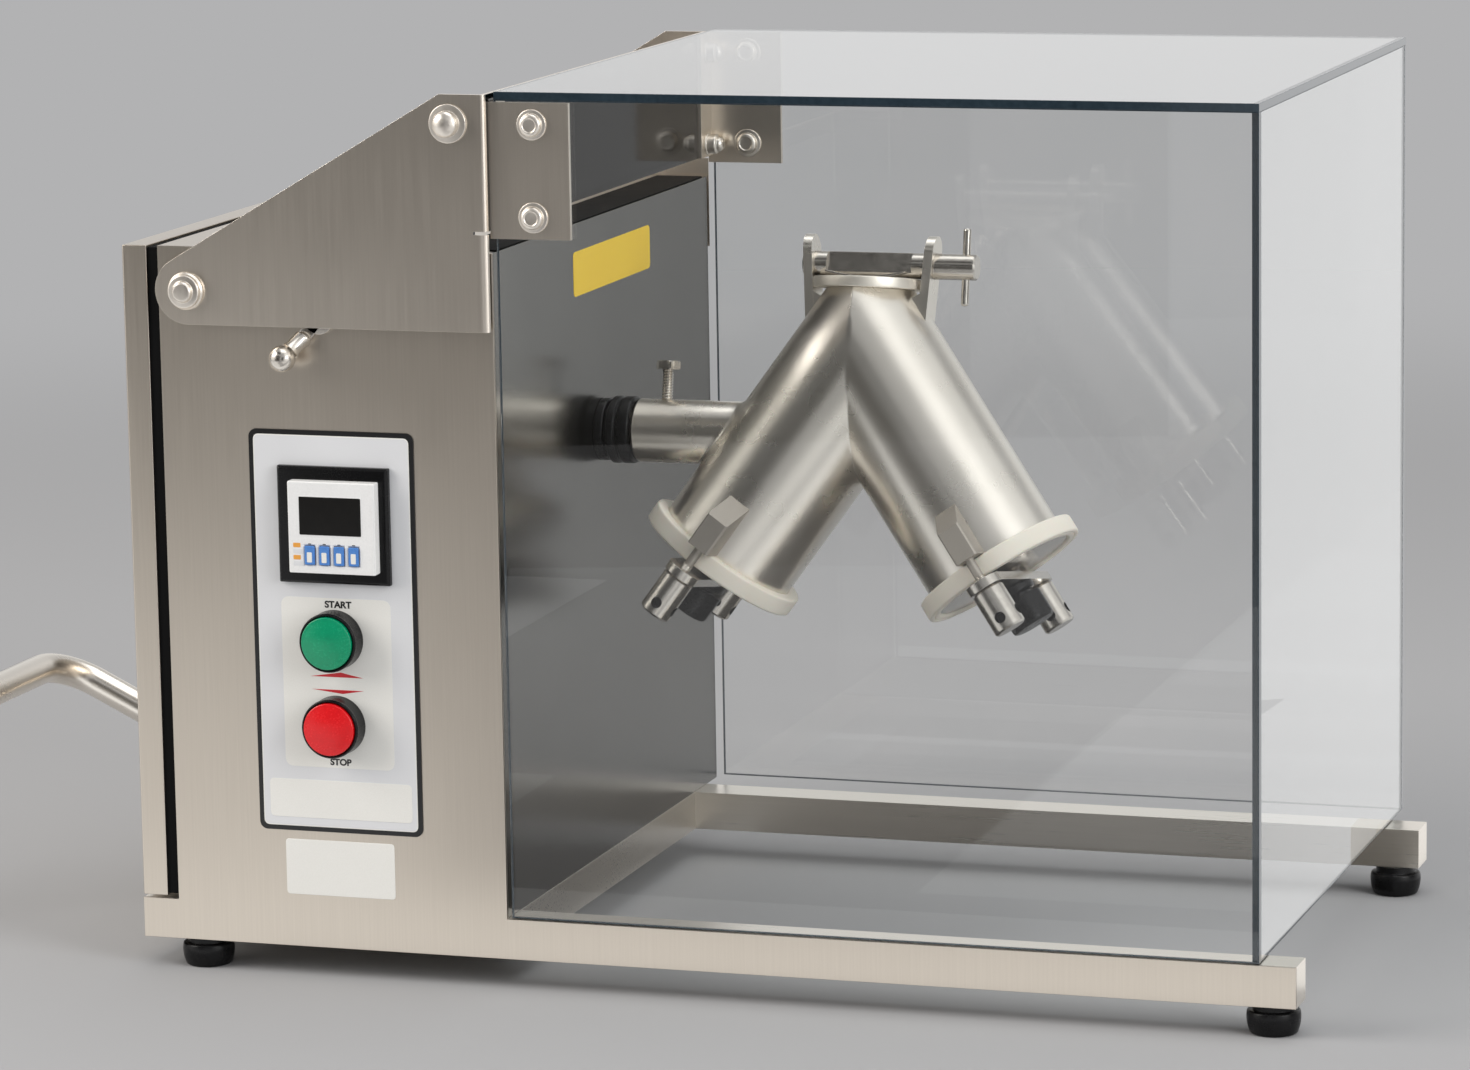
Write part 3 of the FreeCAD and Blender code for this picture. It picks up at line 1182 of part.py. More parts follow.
def guard_panes():
    """Four clear panes of the lift-up guard; the left side and the bottom are open."""
    low, high = pane_bottom, pane_top - pane_gauge
    wide = pane_right - pane_left
    rear = pane_back - pane_gauge
    front_sheet = box(pane_left, pane_front, low, wide, pane_gauge, high - low)
    rear_sheet = box(pane_left, rear, low, wide, pane_gauge, high - low)
    node("pane_front", cut(front_sheet, *pane_holes("front")))
    node("pane_rear", cut(rear_sheet, *pane_holes("rear")))
    node("pane_right", box(pane_right - pane_gauge, pane_front + pane_gauge, low, pane_gauge,
                           rear - pane_front - pane_gauge, high - low))
    node("pane_top", box(pane_left, pane_front, high, wide, pane_back - pane_front, pane_gauge))


def guard_brackets():
    """Two angle brackets that hold the panes on the yoke's cross panel."""
    wide, tall, fold_tall = clip_right - wall_face, clip_top - clip_bottom, clip_top - web_bottom
    rear_face = pane_back - pane_gauge
    front = fuse(
        box(wall_face, pane_front - clip_gauge, clip_bottom, wide, clip_gauge, tall),
        box(wall_face, pane_front - clip_gauge, web_bottom, pane_gap, clip_fold, fold_tall),
    )
    rear = fuse(
        box(wall_face, rear_face - clip_gauge, clip_bottom, wide, clip_gauge, tall),
        box(wall_face, rear_face - clip_fold, web_bottom, pane_gap, clip_fold, fold_tall),
    )
    node("guard_brackets", group(cut(front, *pane_holes("front"), *fold_holes("front")),
                                 cut(rear, *pane_holes("rear"), *fold_holes("rear"))))


def screw(grip):
    """Profile of a domed screw with washer; its seat is at zero and its nut lies one grip behind."""
    top = screw_washer + screw_head
    return [
        (0, -grip - screw_head), (screw_head_radius, -grip - screw_head), (screw_head_radius, -grip),
        (screw_radius, -grip), (screw_radius, 0), (screw_washer_radius, 0),
        (screw_washer_radius, screw_washer), (screw_head_radius, screw_washer),
        (screw_head_radius, top - screw_head / 2),
        (screw_head_radius * 0.7, top), (0, top),
    ]


def dome_nut():
    """Profile of a dome nut on its washer, with the screw that comes through the fold and the cross panel."""
    grip = pane_gap + yoke_gauge
    top = screw_washer + screw_head
    return [
        (0, -grip), (screw_radius, -grip), (screw_radius, 0), (screw_washer_radius * 0.8, 0),
        (screw_washer_radius * 0.8, screw_washer), (screw_head_radius, screw_washer),
        (screw_head_radius, top), (screw_head_radius * 0.85, top + screw_head * 0.5),
        (screw_head_radius * 0.45, top + screw_head * 0.85), (0, top + screw_head),
    ]


def guard_bolts():
    """Bracket screws with washers and nuts, through the brackets and the panes."""
    stack = clip_gauge + pane_gauge
    seats = {"front": pane_front - clip_gauge, "rear": pane_back - stack}
    bolts = [
        turned(screw(stack), place(clip_bolt_place, seats[end], rise, *TOWARD_FRONT))
        for end in seats for rise in bolt_rises()
    ]
    nuts = [turned(dome_nut(), place(wall_face + pane_gap, y, rise, *TOWARD_RIGHT)) for y, rise in fold_places()]
    node("guard_bolts", group(*bolts, *nuts))


def tie_rod():
    """Rod between the yoke arms with washers and dome nuts outside."""
    inner = cabinet_depth / 2 + arm_gap
    outer = inner + yoke_gauge
    seat = outer + tie_washer
    half = [
        (tie_radius, inner), (tie_thread_radius, inner), (tie_thread_radius, outer), (tie_washer_radius, outer),
        (tie_washer_radius, seat), (tie_nut_radius, seat), (tie_nut_radius, seat + tie_nut * 0.55),
        (tie_nut_crown_radius, seat + tie_nut), (0, seat + tie_nut),
    ]
    profile = [(radius, -along) for radius, along in reversed(half)] + half
    node("tie_rod", turned(profile, place(tie_place, cabinet_depth / 2, tie_rise, *TOWARD_BACK)))


def controller_board():
    """Motor controller board on four posts inside the cabinet back."""
    back = cabinet_depth - shell_gauge - post_length
    board = box(board_left, back - board_gauge, board_bottom, board_width, board_gauge, board_height)
    posts = [
        rod(post_radius, post_length, x, back, z, TOWARD_BACK)
        for x in (board_left + post_inset, board_left + board_width - post_inset)
        for z in (board_bottom + post_inset, board_bottom + board_height - post_inset)
    ]
    chips = [
        box(board_left + board_width * share, back - board_gauge - chip_depth, board_bottom + chip_height * 0.5,
            chip_width, chip_depth, chip_height)
        for share in (0.1, 0.55)
    ]
    node("controller_board", fuse(board, *posts, *chips))


def mains_inlet():
    """Mains inlet in the cabinet back: flange, body, socket and three blades."""
    back = cabinet_depth
    flange = box(inlet_place - inlet_width / 2, back, inlet_rise - inlet_height / 2,
                 inlet_width, inlet_flange, inlet_height)
    body = box(inlet_place - inlet_body_width / 2, back - inlet_body_depth, inlet_rise - inlet_body_height / 2,
               inlet_body_width, inlet_body_depth, inlet_body_height)
    mouth = back + inlet_flange
    socket = box(inlet_place - socket_width / 2, mouth - socket_depth, inlet_rise - socket_height / 2,
                 socket_width, socket_depth * 2, socket_height)
    blades = [
        rod(blade_radius, blade_length, inlet_place, mouth - socket_depth, inlet_rise + blade_pitch * step,
            TOWARD_BACK)
        for step in (-1, 0, 1)
    ]
    node("mains_inlet", fuse(cut(fuse(flange, body), socket), *blades))


base_frame()
front_plate()
cabinet_shell()
partition_wall()
cover_gasket()
service_cover()
carry_handle()
pivot_bolts()
rubber_feet()
control_overlay()
timer()
push_button("start", start_rise)
push_button("stop", stop_rise)
contact_blocks()
latch_lever()
drive_line()
controller_board()
mains_inlet()
v_shell()
trunnion()
clamp_bolt()
for side in LEG:
    end_closure(side)
port_ears()
lid()
cam_shaft()
leaf_spring()
guard_yoke()
guard_panes()
guard_brackets()
guard_bolts()
tie_rod()

doc.recompute()
for thing in doc.Objects:
    if "Invalid" in thing.State or "Error" in thing.State:
        raise ValueError(f"{thing.Name} ({thing.Label}) failed: {thing.State}")
for thing in nodes:
    if thing.Shape.isNull() or not thing.Shape.isValid():
        raise ValueError(f"{thing.Label} has no valid shape")
for thing in nodes:
    thing.Shape.exportStep(f"parts/{thing.Label}.step")
print(len(nodes), "pieces written")
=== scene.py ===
import json
import math

import bmesh
import bpy
import numpy as np
from mathutils import Matrix, Vector


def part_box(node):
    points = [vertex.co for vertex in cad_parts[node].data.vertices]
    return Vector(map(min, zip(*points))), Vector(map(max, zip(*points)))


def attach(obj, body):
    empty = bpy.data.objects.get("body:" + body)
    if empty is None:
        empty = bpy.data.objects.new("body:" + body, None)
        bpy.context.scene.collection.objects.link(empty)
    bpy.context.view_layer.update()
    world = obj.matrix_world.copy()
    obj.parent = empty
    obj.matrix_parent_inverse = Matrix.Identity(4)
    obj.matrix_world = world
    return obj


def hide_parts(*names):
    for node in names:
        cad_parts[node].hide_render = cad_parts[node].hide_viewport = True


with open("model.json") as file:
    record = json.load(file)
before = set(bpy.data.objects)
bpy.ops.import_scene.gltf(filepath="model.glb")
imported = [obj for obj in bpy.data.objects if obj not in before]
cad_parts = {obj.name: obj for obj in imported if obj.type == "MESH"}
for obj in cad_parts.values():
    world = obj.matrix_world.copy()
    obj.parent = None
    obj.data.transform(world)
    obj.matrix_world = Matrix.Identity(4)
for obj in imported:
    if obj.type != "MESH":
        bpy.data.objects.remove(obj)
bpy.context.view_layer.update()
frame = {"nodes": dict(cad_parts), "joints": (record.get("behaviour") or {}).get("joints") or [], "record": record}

# Bench-top twin-shell tumble blender in a plain studio.
# Places are millimetres in the machine's own frame: x from the left end of the base, y back from the front
# plate, z up from the underside of the base. carry() turns them into the scene's metres.

mm = 0.001
record = frame["record"]
jointByName = {joint["name"]: joint for joint in frame["joints"]}
bodyOf = {node: body for body, nodes in record["behaviour"]["bodies"].items() for node in nodes}


# Frames: a 3 by 4 array whose columns are the local x, y and z axes and the origin, in metres

def makeFrame(origin, along=(0, 0, 1), side=(1, 0, 0)):
    along = np.array(along, float) / np.linalg.norm(along)
    across = np.cross(along, side)
    across /= np.linalg.norm(across)
    return np.column_stack([np.cross(across, along), across, along, np.array(origin, float)])


def carry(points, place):  # local millimetres to metres: axes times the point, plus the origin
    return np.asarray(points, float) @ (place[:, :3].T * mm) + place[:, 3]


base = makeFrame((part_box("base_frame")[0].x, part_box("front_plate")[0].y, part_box("base_frame")[0].z))


def nodeBox(node):  # a node's lowest and highest corner in machine millimetres
    return [(np.array(corner) - base[:, 3]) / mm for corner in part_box(node)]


def middleOf(node):
    low, high = nodeBox(node)
    return (low + high) / 2


def at(x, y, z, along=(0, 0, 1), side=(1, 0, 0)):  # a frame at a machine point
    return makeFrame(carry((x, y, z), base), along, side)


def jointPlace(name):  # a joint's point in machine millimetres
    return (np.array(jointByName[name]["pos_m"]) - base[:, 3]) / mm


towardFront, towardBack, towardRight, towardLeft = (0, -1, 0), (0, 1, 0), (1, 0, 0), (-1, 0, 0)
shellUp = np.array(jointByName["clamp_bolt_turn"]["axis"])
shellFrame = makeFrame(jointByName["shell_spin"]["pos_m"], shellUp)
knobSeat = 149  # each knob's joint lies this far down its leg's axis from where the axes meet
legFrame = {}
for side in ("left", "right"):
    knobJoint = jointByName[f"knob_{side}_turn"]
    legAxis = np.array(knobJoint["axis"])
    apex = np.array(knobJoint["pos_m"]) - legAxis * knobSeat * mm
    legFrame[side] = makeFrame(apex, legAxis, np.cross(shellFrame[:, 1], legAxis))


# Camera and studio

camera = {
    "place": (1142.6, -2561.6, 688.4),  # machine millimetres
    "azimuth": 17.971,
    "elevation": 9.981,
    "roll": -0.929,
    "lens": 141.17,
    "sensor": 36,
}


def linear(code):  # sRGB hex to a linear colour
    parts = np.array([int(code[i:i + 2], 16) / 255 for i in (1, 3, 5)])
    return [*np.where(parts <= 0.04045, parts / 12.92, ((parts + 0.055) / 1.055) ** 2.4).tolist(), 1.0]


def addNode(tree, kind, values=None, links=None, **settings):
    node = tree.nodes.new(kind)
    for name, value in settings.items():
        setattr(node, name, value)
    for name, value in (values or {}).items():
        node.inputs[name].default_value = value
    for name, source in (links or {}).items():
        tree.links.new(source, node.inputs[name])
    return node


def setCamera():
    azimuth, elevation, roll = (math.radians(camera[name]) for name in ("azimuth", "elevation", "roll"))
    ahead = Vector((-math.sin(azimuth) * math.cos(elevation), math.cos(azimuth) * math.cos(elevation),
                    -math.sin(elevation)))
    right = Vector((math.cos(azimuth), math.sin(azimuth), 0))
    up = right.cross(ahead)
    imageRight = right * math.cos(roll) + up * math.sin(roll)
    imageUp = up * math.cos(roll) - right * math.sin(roll)
    data = bpy.data.cameras.new("studioCamera")
    data.lens, data.sensor_width, data.sensor_fit = camera["lens"], camera["sensor"], "HORIZONTAL"
    data.clip_end = 100
    item = bpy.data.objects.new("studioCamera", data)
    turn = Matrix((imageRight, imageUp, -ahead)).transposed().to_4x4()
    item.matrix_world = Matrix.Translation(Vector(carry(camera["place"], base))) @ turn
    bpy.context.collection.objects.link(item)
    bpy.context.scene.camera = item


def newMaterial(name):
    material = bpy.data.materials.new(name)
    material.use_nodes = True
    material.node_tree.nodes.clear()
    return material, material.node_tree


def setSurface(tree, shader, kind="ShaderNodeOutputMaterial"):
    addNode(tree, kind, links={"Surface": shader.outputs[0]})


def byRay(tree, usual, other, first, *more):  # the usual shader, or the other for rays of the kinds named
    path = addNode(tree, "ShaderNodeLightPath")
    share = path.outputs[first]
    for kind in more:
        share = addNode(tree, "ShaderNodeMath", links={0: share, 1: path.outputs[kind]},
                        operation="MAXIMUM").outputs[0]
    return addNode(tree, "ShaderNodeMixShader", links={0: share, 1: usual.outputs[0], 2: other.outputs[0]})


def setSeen(tree, lit, seen):  # one shader for light, another for what camera, gloss and glass see
    return byRay(tree, lit, seen, "Is Camera Ray", "Is Glossy Ray", "Is Transmission Ray")


studio = {
    "airColour": "#c0c0c1",
    "airLight": 0.85,
    "seenStrength": 1.0,
    "floorColour": "#a6a6a7",
    "farColour": "#b2b2b3",
    "fade": (1.0, 2.6),  # metres from the object over which the floor gives way to the even background
    "floorSize": 24,
    # name: place (m), aim (m), width, height (m), watts, colour
    "lamps": {
        "keyLamp": ((-2.7, -1.3, 1.7), (0.1, 0, 0.25), 1.9, 2.4, 85, "#fffaf4"),
        "fillLamp": ((2.9, -1.5, 1.4), (0.1, 0, 0.25), 1.3, 2.4, 62, "#ffffff"),
        "topLamp": ((0.4, 0.2, 3.0), (0.1, 0, 0.1), 2.8, 2.2, 36, "#ffffff"),
    },
    "boardGlow": {"paleCardRail": 1.12},  # the others glow at 1
    # boards that only gloss sees: place, aim, width, height (m), colour
    "boards": {
        "paleBoard": ((0.1, 3.6, 1.15), (0.1, 0, 0.4), 6.4, 1.5, "#ebebeb"),
        "paleBoardLeft": ((-1.9, -1.0, 0.5), (0.1, 0, 0.3), 1.2, 0.9, "#e9e8e6"),
        "paleBoardRight": ((0.86, 0.66, 0.27), (0.5, -1.5, 0.27), 1.1, 0.54, "#f4f4f4"),
        "paleCardNear": ((-0.835, -0.39, 0.004), (-0.835, -0.38, 1), 1.33, 0.42, "#ffffff"),
        "paleCardFar": ((-0.92, -0.89, 0.004), (-0.92, -0.88, 1), 1.16, 0.58, "#ffffff"),
        "paleCardTube": ((0.5, -0.85, 0.004), (0.5, -0.84, 1), 0.8, 0.66, "#ffffff"),
        "paleCardRail": ((-0.1, -0.26, 0.006), (-0.1, -0.25, 1), 2.4, 0.15, "#ffffff"),
        "paleCardRight": ((0.76, 0.35, 0.004), (0.76, 0.36, 1), 0.8, 0.9, "#f4f4f4"),
        "paleBoardFold": ((1.6, -1.2, 0.38), (0.0, 0, 0.36), 1.8, 0.8, "#f6f6f6"),
        "paleBoardHigh": ((1.35, -0.15, 1.5), (0.15, 0, 0.25), 2.2, 1.0, "#ffffff"),
        "darkCardInside": ((0.16, -0.005, 0.004), (0.16, 0.0, 1), 0.36, 0.27, "#454340"),
        "darkBoardPlate": ((-0.62, -1.6, 0.38), (-0.1, 0, 0.36), 1.1, 0.72, "#454340"),
        "darkBoardTop": ((-0.45, -1.1, 1.8), (0.1, 0, 0.33), 1.0, 0.6, "#2b2a29"),
        "darkBoardLeft": ((-2.6, 1.4, 0.9), (0.1, 0, 0.3), 3.0, 1.7, "#242322"),
        "darkBoardRight": ((3.0, 0.8, 0.8), (0.1, 0, 0.3), 2.4, 1.5, "#2b2a29"),
        "darkBoardFront": ((1.5, -3.0, 0.75), (0.2, 0, 0.3), 1.5, 1.5, "#2b2a29"),
        "darkBoardHigh": ((-1.0, -3.4, 1.9), (0.1, 0, 0.3), 2.6, 1.0, "#2b2a29"),
    },
}


def setStudio():
    scene = bpy.context.scene
    scene.view_settings.view_transform = "Standard"
    world = bpy.data.worlds.new("studioAir")
    world.use_nodes = True
    tree = world.node_tree
    tree.nodes.clear()
    colour = linear(studio["airColour"])
    lit = addNode(tree, "ShaderNodeBackground", {"Color": colour, "Strength": studio["airLight"]})
    seen = addNode(tree, "ShaderNodeBackground", {"Color": colour, "Strength": studio["seenStrength"]})
    setSurface(tree, setSeen(tree, lit, seen), "ShaderNodeOutputWorld")
    scene.world = world
    for name, (place, aim, width, height, watts, code) in studio["lamps"].items():
        data = bpy.data.lights.new(name, "AREA")
        data.shape, data.size, data.size_y, data.energy = "RECTANGLE", width, height, watts
        data.color = linear(code)[:3]
        item = bpy.data.objects.new(name, data)
        item.location = place
        item.rotation_euler = (Vector(aim) - Vector(place)).to_track_quat("-Z", "Y").to_euler()
        bpy.context.collection.objects.link(item)
    addStagePlane("floor", makeFrame((0, 0, 0)), studio["floorSize"], studio["floorSize"], makeFloorPaint())
    for name, (place, aim, width, height, code) in studio["boards"].items():
        toward = np.array(aim) - np.array(place)
        side = np.cross((0, 0, 1), toward)
        board = addStagePlane(name, makeFrame(place, toward, side), width, height, makeBoardPaint(name, code))
        board.visible_camera = board.visible_diffuse = False
        board.visible_transmission = board.visible_shadow = False


def addStagePlane(name, place, width, height, finish):
    corners = np.array([(-1, -1, 0), (1, -1, 0), (1, 1, 0), (-1, 1, 0)]) * (width / 2, height / 2, 0)
    mesh = bpy.data.meshes.new(name)
    mesh.from_pydata((corners @ place[:, :3].T + place[:, 3]).tolist(), [], [(0, 1, 2, 3)])
    mesh.materials.append(finish)
    plane = bpy.data.objects.new(name, mesh)
    bpy.context.collection.objects.link(plane)
    return plane


def makeBoardPaint(name, code):
    material, tree = newMaterial(name)
    strength = studio["boardGlow"].get(name, 1)
    setSurface(tree, addNode(tree, "ShaderNodeEmission", {"Color": linear(code), "Strength": strength}))
    material.cycles.emission_sampling = "NONE"  # they are found by gloss alone
    return material


def makeFloorPaint():
    material, tree = newMaterial("paleStudioFloor")
    place = addNode(tree, "ShaderNodeTexCoord").outputs["Object"]
    reach = addNode(tree, "ShaderNodeVectorMath", links={0: place}, operation="LENGTH")
    near, far = studio["fade"]
    share = addNode(tree, "ShaderNodeMapRange", {"From Min": near, "From Max": far},
                    {"Value": reach.outputs["Value"]}, interpolation_type="SMOOTHERSTEP")
    painted = addNode(tree, "ShaderNodeBsdfDiffuse", {"Color": linear(studio["floorColour"])})
    even = addNode(tree, "ShaderNodeEmission", {"Color": linear(studio["farColour"]), "Strength": 1.0})
    faded = addNode(tree, "ShaderNodeMixShader", links={0: share.outputs[0], 1: painted.outputs[0],
                                                        2: even.outputs[0]})
    setSurface(tree, setSeen(tree, painted, faded))
    return material


# Finishes. Each is named for the real one; a grain is a noise stretched to the real marks' size.

noiseMix = {"cloudShare": 0.35, "range": (0.3, 0.7)}  # the range is where most of the noise lies


def makeFinish(name, dark, light, rough, grain=2, patch=60, bump=0, clear=None, sockets=None):
    # dark to light and rough's low to high follow the noise; grain, patch and bump are millimetres
    material, tree = newMaterial(name)
    place = addNode(tree, "ShaderNodeTexCoord").outputs["Object"]
    stretched = addNode(tree, "ShaderNodeMapping", {"Scale": 1 / (np.broadcast_to(grain, 3) * mm)},
                        {"Vector": place})
    fine = addNode(tree, "ShaderNodeTexNoise", {"Scale": 1.0, "Detail": 3.0, "Roughness": 0.6},
                   {"Vector": stretched.outputs[0]}).outputs["Fac"]
    cloud = addNode(tree, "ShaderNodeTexNoise", {"Scale": 1 / (patch * mm), "Detail": 2.0},
                    {"Vector": place}).outputs["Fac"]
    both = addNode(tree, "ShaderNodeMix", {"Factor": noiseMix["cloudShare"]}, {"A": fine, "B": cloud})
    low, high = noiseMix["range"]
    spread = addNode(tree, "ShaderNodeMapRange", {"From Min": low, "From Max": high},
                     {"Value": both.outputs["Result"]})
    colour = addNode(tree, "ShaderNodeMix", links={"Factor": spread.outputs[0]}, data_type="RGBA")
    colour.inputs["A"].default_value = linear(dark)
    colour.inputs["B"].default_value = linear(light)
    polish = addNode(tree, "ShaderNodeMapRange", {"From Min": low, "From Max": high, "To Min": rough[0],
                                                  "To Max": rough[1]}, {"Value": both.outputs["Result"]})
    shader = addNode(tree, "ShaderNodeBsdfPrincipled", sockets, {"Roughness": polish.outputs[0]})
    tree.links.new(colour.outputs["Result"], shader.inputs["Base Color"])
    if bump:
        dent = addNode(tree, "ShaderNodeBump", {"Strength": 1.0, "Distance": bump * mm}, {"Height": fine})
        tree.links.new(dent.outputs[0], shader.inputs["Normal"])
    if clear:  # lamplight, and light that has bounced, pass clear sheet without a dark shadow
        passing = addNode(tree, "ShaderNodeBsdfTransparent", {"Color": linear(clear)})
        shader = byRay(tree, shader, passing, "Is Shadow Ray", "Is Reflection Ray")
    setSurface(tree, shader)
    return material


def makeMetal(*look, **more):
    return makeFinish(*look, **more, sockets={"Metallic": 1.0})


# A 0.3 mm grit line is drawn 0.9 mm wide so that it shows; rolled sheet has broad faint clouds.
standing, lengthways, rolled = (0.9, 0.9, 60), (60, 0.9, 0.9), (90, 60, 90)
mouldedGlow = {"Subsurface Weight": 0.05, "Subsurface Scale": 0.003}

# Stainless sheet, belt ground: a warm grey with faint upright lines.
groundSheet = makeMetal("groundStainlessSheet", "#c5bcb0", "#cdc4b8", (0.28, 0.33), standing, 90, 0.0015)
# The guard's sheet: the same grind, painted a little brighter for the light the guard catches.
guardSheetPaintedLight = makeMetal("groundStainlessGuard", "#e4dbcf", "#eae1d5", (0.28, 0.32), standing, 90, 0.0012)
# The same sheet with its lines along the rails, painted lighter for the bright floor that the rails reflect.
railSheetPaintedLight = makeMetal("groundStainlessRail", "#eee7dc", "#f5eee3", (0.26, 0.33), lengthways, 90, 0.0015)
# Mirror-rolled stainless wall, a little hazy, with soft reflections; its colour is painted dark for the dark
# surroundings it reflects.
mirrorWallPaintedDark = makeMetal("hazyMirrorStainless", "#898783", "#8e8c88", (0.2, 0.23), rolled, 160)
# The yoke's cross panel, mirror rolled with its film just off, so its reflections are clear; its colour is painted
# dark for the dark surroundings it reflects.
mirrorPanelPaintedDark = makeMetal("mirrorRolledStainless", "#514f4d", "#565452", (0.07, 0.1), rolled, 160)
# Stainless tube, brushed and then buffed: long soft highlights.
buffedTube = makeMetal("buffedStainlessTube", "#e9e3d9", "#efe9e0", (0.26, 0.3), 24, 60)
# Turned heads that a fine cloth has dulled.
satinSteel = makeMetal("satinTurnedStainless", "#d8d1c8", "#e2dcd3", (0.34, 0.4), 3, 12)
# Turned stainless bolts, nuts and pins: satin bright.
turnedSteel = makeMetal("turnedStainless", "#c6c0b8", "#d0cbc3", (0.21, 0.26), 3, 12)
# The inside of a small drilled hole, near black: painted shade for the shade deep in the hole.
boreShadeSteel = makeMetal("drilledStainlessBore", "#1d1b19", "#2a2724", (0.45, 0.6), 0.8, 6)
# Stainless plate with a linished rim: pale, with fine upright lines.
linishedSteel = makeMetal("linishedStainlessPlate", "#efe8dc", "#f9f3e8", (0.44, 0.52),
    (0.8, 0.8, 20), 30, 0.001)
# Stainless milled and bead blasted before it was welded on: duller, with no clear reflections.
blastedSteel = makeMetal("blastedStainless", "#a8a29a", "#b2aca4", (0.6, 0.68), 0.9, 16, 0.002)
# Cream silicone, moulded: matt, slightly translucent.
silicone = makeFinish("creamSilicone", "#e6dfd0", "#f2ece0", (0.5, 0.62), 0.7, 14, 0.02,
    sockets={"Subsurface Weight": 0.12, "Subsurface Scale": 0.004})
# Black nitrile rubber, moulded: near black with a soft gloss.
blackRubber = makeFinish("blackNitrileRubber", "#0d0d0e", "#171718", (0.24, 0.36), 0.8, 10, 0.008,
    sockets={"Specular IOR Level": 0.22})
# Black foam strip between the cover and the cabinet: matt. The same black also paints shade on the cabinet's top
# under the guard's cross panel.
blackFoamAndShade = makeFinish("blackFoamAndPaintedShade", "#060606", "#0e0e0f", (0.7, 0.85), 0.6, 10, 0.03,
    sockets={"Specular IOR Level": 0.1})
# Polyester overlay film with a fine matt texture: pale blue grey.
greyFilm = makeFinish("greyOverlayFilm", "#dcdddf", "#e2e3e5", (0.32, 0.4), 0.5, 50, 0.004,
    sockets={"Coat Weight": 0.15, "Coat Roughness": 0.25})
# Screen inks: satin, with the tooth of the mesh.
whiteInk = makeFinish("whiteScreenInk", "#e8e7e1", "#f0efea", (0.34, 0.42), 0.5, 50, 0.003)
blackInk = makeFinish("blackScreenInk", "#08080a", "#101012", (0.26, 0.34), 0.5, 50, 0.003)
redInk = makeFinish("redScreenInk", "#c2202a", "#cf2a33", (0.3, 0.4), 0.5, bump=0.003)
orangeInk = makeFinish("orangeScreenInk", "#e39a3c", "#efab50", (0.3, 0.4), 0.5, bump=0.003)
# ABS, injection moulded: even colour, satin gloss with a slight orange peel.
blackAbs = makeFinish("blackMouldedAbs", "#08080a", "#0f0f10", (0.22, 0.3), 0.9, 20, 0.008,
    sockets={"Specular IOR Level": 0.25})
whiteAbs = makeFinish("whiteMouldedAbs", "#e9e9e8", "#f2f2f1", (0.26, 0.34), 0.9, 20, 0.006)
# Blue film over the timer's keys.
blueKeyFilm = makeFinish("blueKeyFilm", "#3f78c4", "#5a90d6", (0.3, 0.4), 0.6, 4, 0.004)
# Push button caps, moulded in polyamide: satin, with a little light inside.
greenCapPlastic = makeFinish("greenMouldedPolyamide", "#008a60", "#009c6d", (0.22, 0.3), 1.2, 8, 0.012,
    sockets=mouldedGlow)
redCapPlastic = makeFinish("redMouldedPolyamide", "#d60d16", "#e8161d", (0.22, 0.3), 1.2, 8, 0.012,
    sockets=mouldedGlow)
# Smoked window over the timer's display: near black and glossy.
darkGlass = makeFinish("blackDisplayWindow", "#060504", "#0f0d0a", (0.12, 0.18), 4, 12,
    sockets={"Specular IOR Level": 0.3})
# Yellow vinyl label, bare: satin.
yellowFilm = makeFinish("yellowVinylPlate", "#fbcf22", "#ffd93a", (0.3, 0.38), 0.6, 30, 0.003)
# Cast acrylic sheet: clear on its faces. Its sawn and polished edges are painted dark and bluish, the shade seen
# when an edge is looked into.
clearSheet = makeFinish("clearAcrylicSheet", "#fbfcfc", "#fefefe", (0.0, 0.008), 40, 200, clear="#f6f7f7",
    sockets={"Transmission Weight": 1.0, "IOR": 1.49, "Specular IOR Level": 0.15})
edgeShadeSheet = makeFinish("acrylicEdgePaintedDark", "#1c2a33", "#2c3a44", (0.08, 0.18), 3, 60, 0.004,
    sockets={"Coat Weight": 0.5, "Coat Roughness": 0.08})
# Inside the cabinet: enamelled motor, sand-cast gearbox and bearing, lacquered board.
motorEnamel = makeFinish("darkMotorEnamel", "#2a2c2f", "#36393c", (0.35, 0.5), 1.2, bump=0.02)
castAlloy = makeMetal("sandCastAluminium", "#8f8f8d", "#a6a6a3", (0.45, 0.6), 0.8, bump=0.05)
greenBoard = makeFinish("greenCircuitBoard", "#10512f", "#1a6a3f", (0.3, 0.4), (1.5, 1.5, 0.6), bump=0.01)
print("finishes made")

setCamera()
setStudio()
print("camera and studio set")


# Surface makers. A patch is an array of rows by columns by 3 in metres, with two marks that say whether the
# rows and the columns close on themselves, and a third that caps the first and last row.

def patch(points, loopRows=False, loopColumns=True, capped=False):
    return points, loopRows, loopColumns, capped


def patchFaces(points, loopRows, loopColumns, capped, first):
    rows, columns = points.shape[:2]
    row = np.arange(rows if loopRows else rows - 1)[:, None]
    column = np.arange(columns if loopColumns else columns - 1)[None, :]
    here, below, after = row * columns, (row + 1) % rows * columns, (column + 1) % columns
    quads = joined(here + column, here + after, below + after, below + column)
    faces = (quads.reshape(-1, 4) + first).tolist()
    if capped:
        ring = first + np.arange(columns)
        faces += [ring.tolist(), (ring + (rows - 1) * columns).tolist()]
    return faces


def finishObject(mesh, name, finishes, body, replaced=(), crease=38):
    mesh.polygons.foreach_set("use_smooth", np.ones(len(mesh.polygons), bool))
    mesh.set_sharp_from_angle(angle=math.radians(crease))
    for finish in finishes:
        mesh.materials.append(finish)
    piece = bpy.data.objects.new(name, mesh)
    bpy.context.collection.objects.link(piece)
    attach(piece, body)
    if replaced:
        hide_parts(*replaced)
    return piece


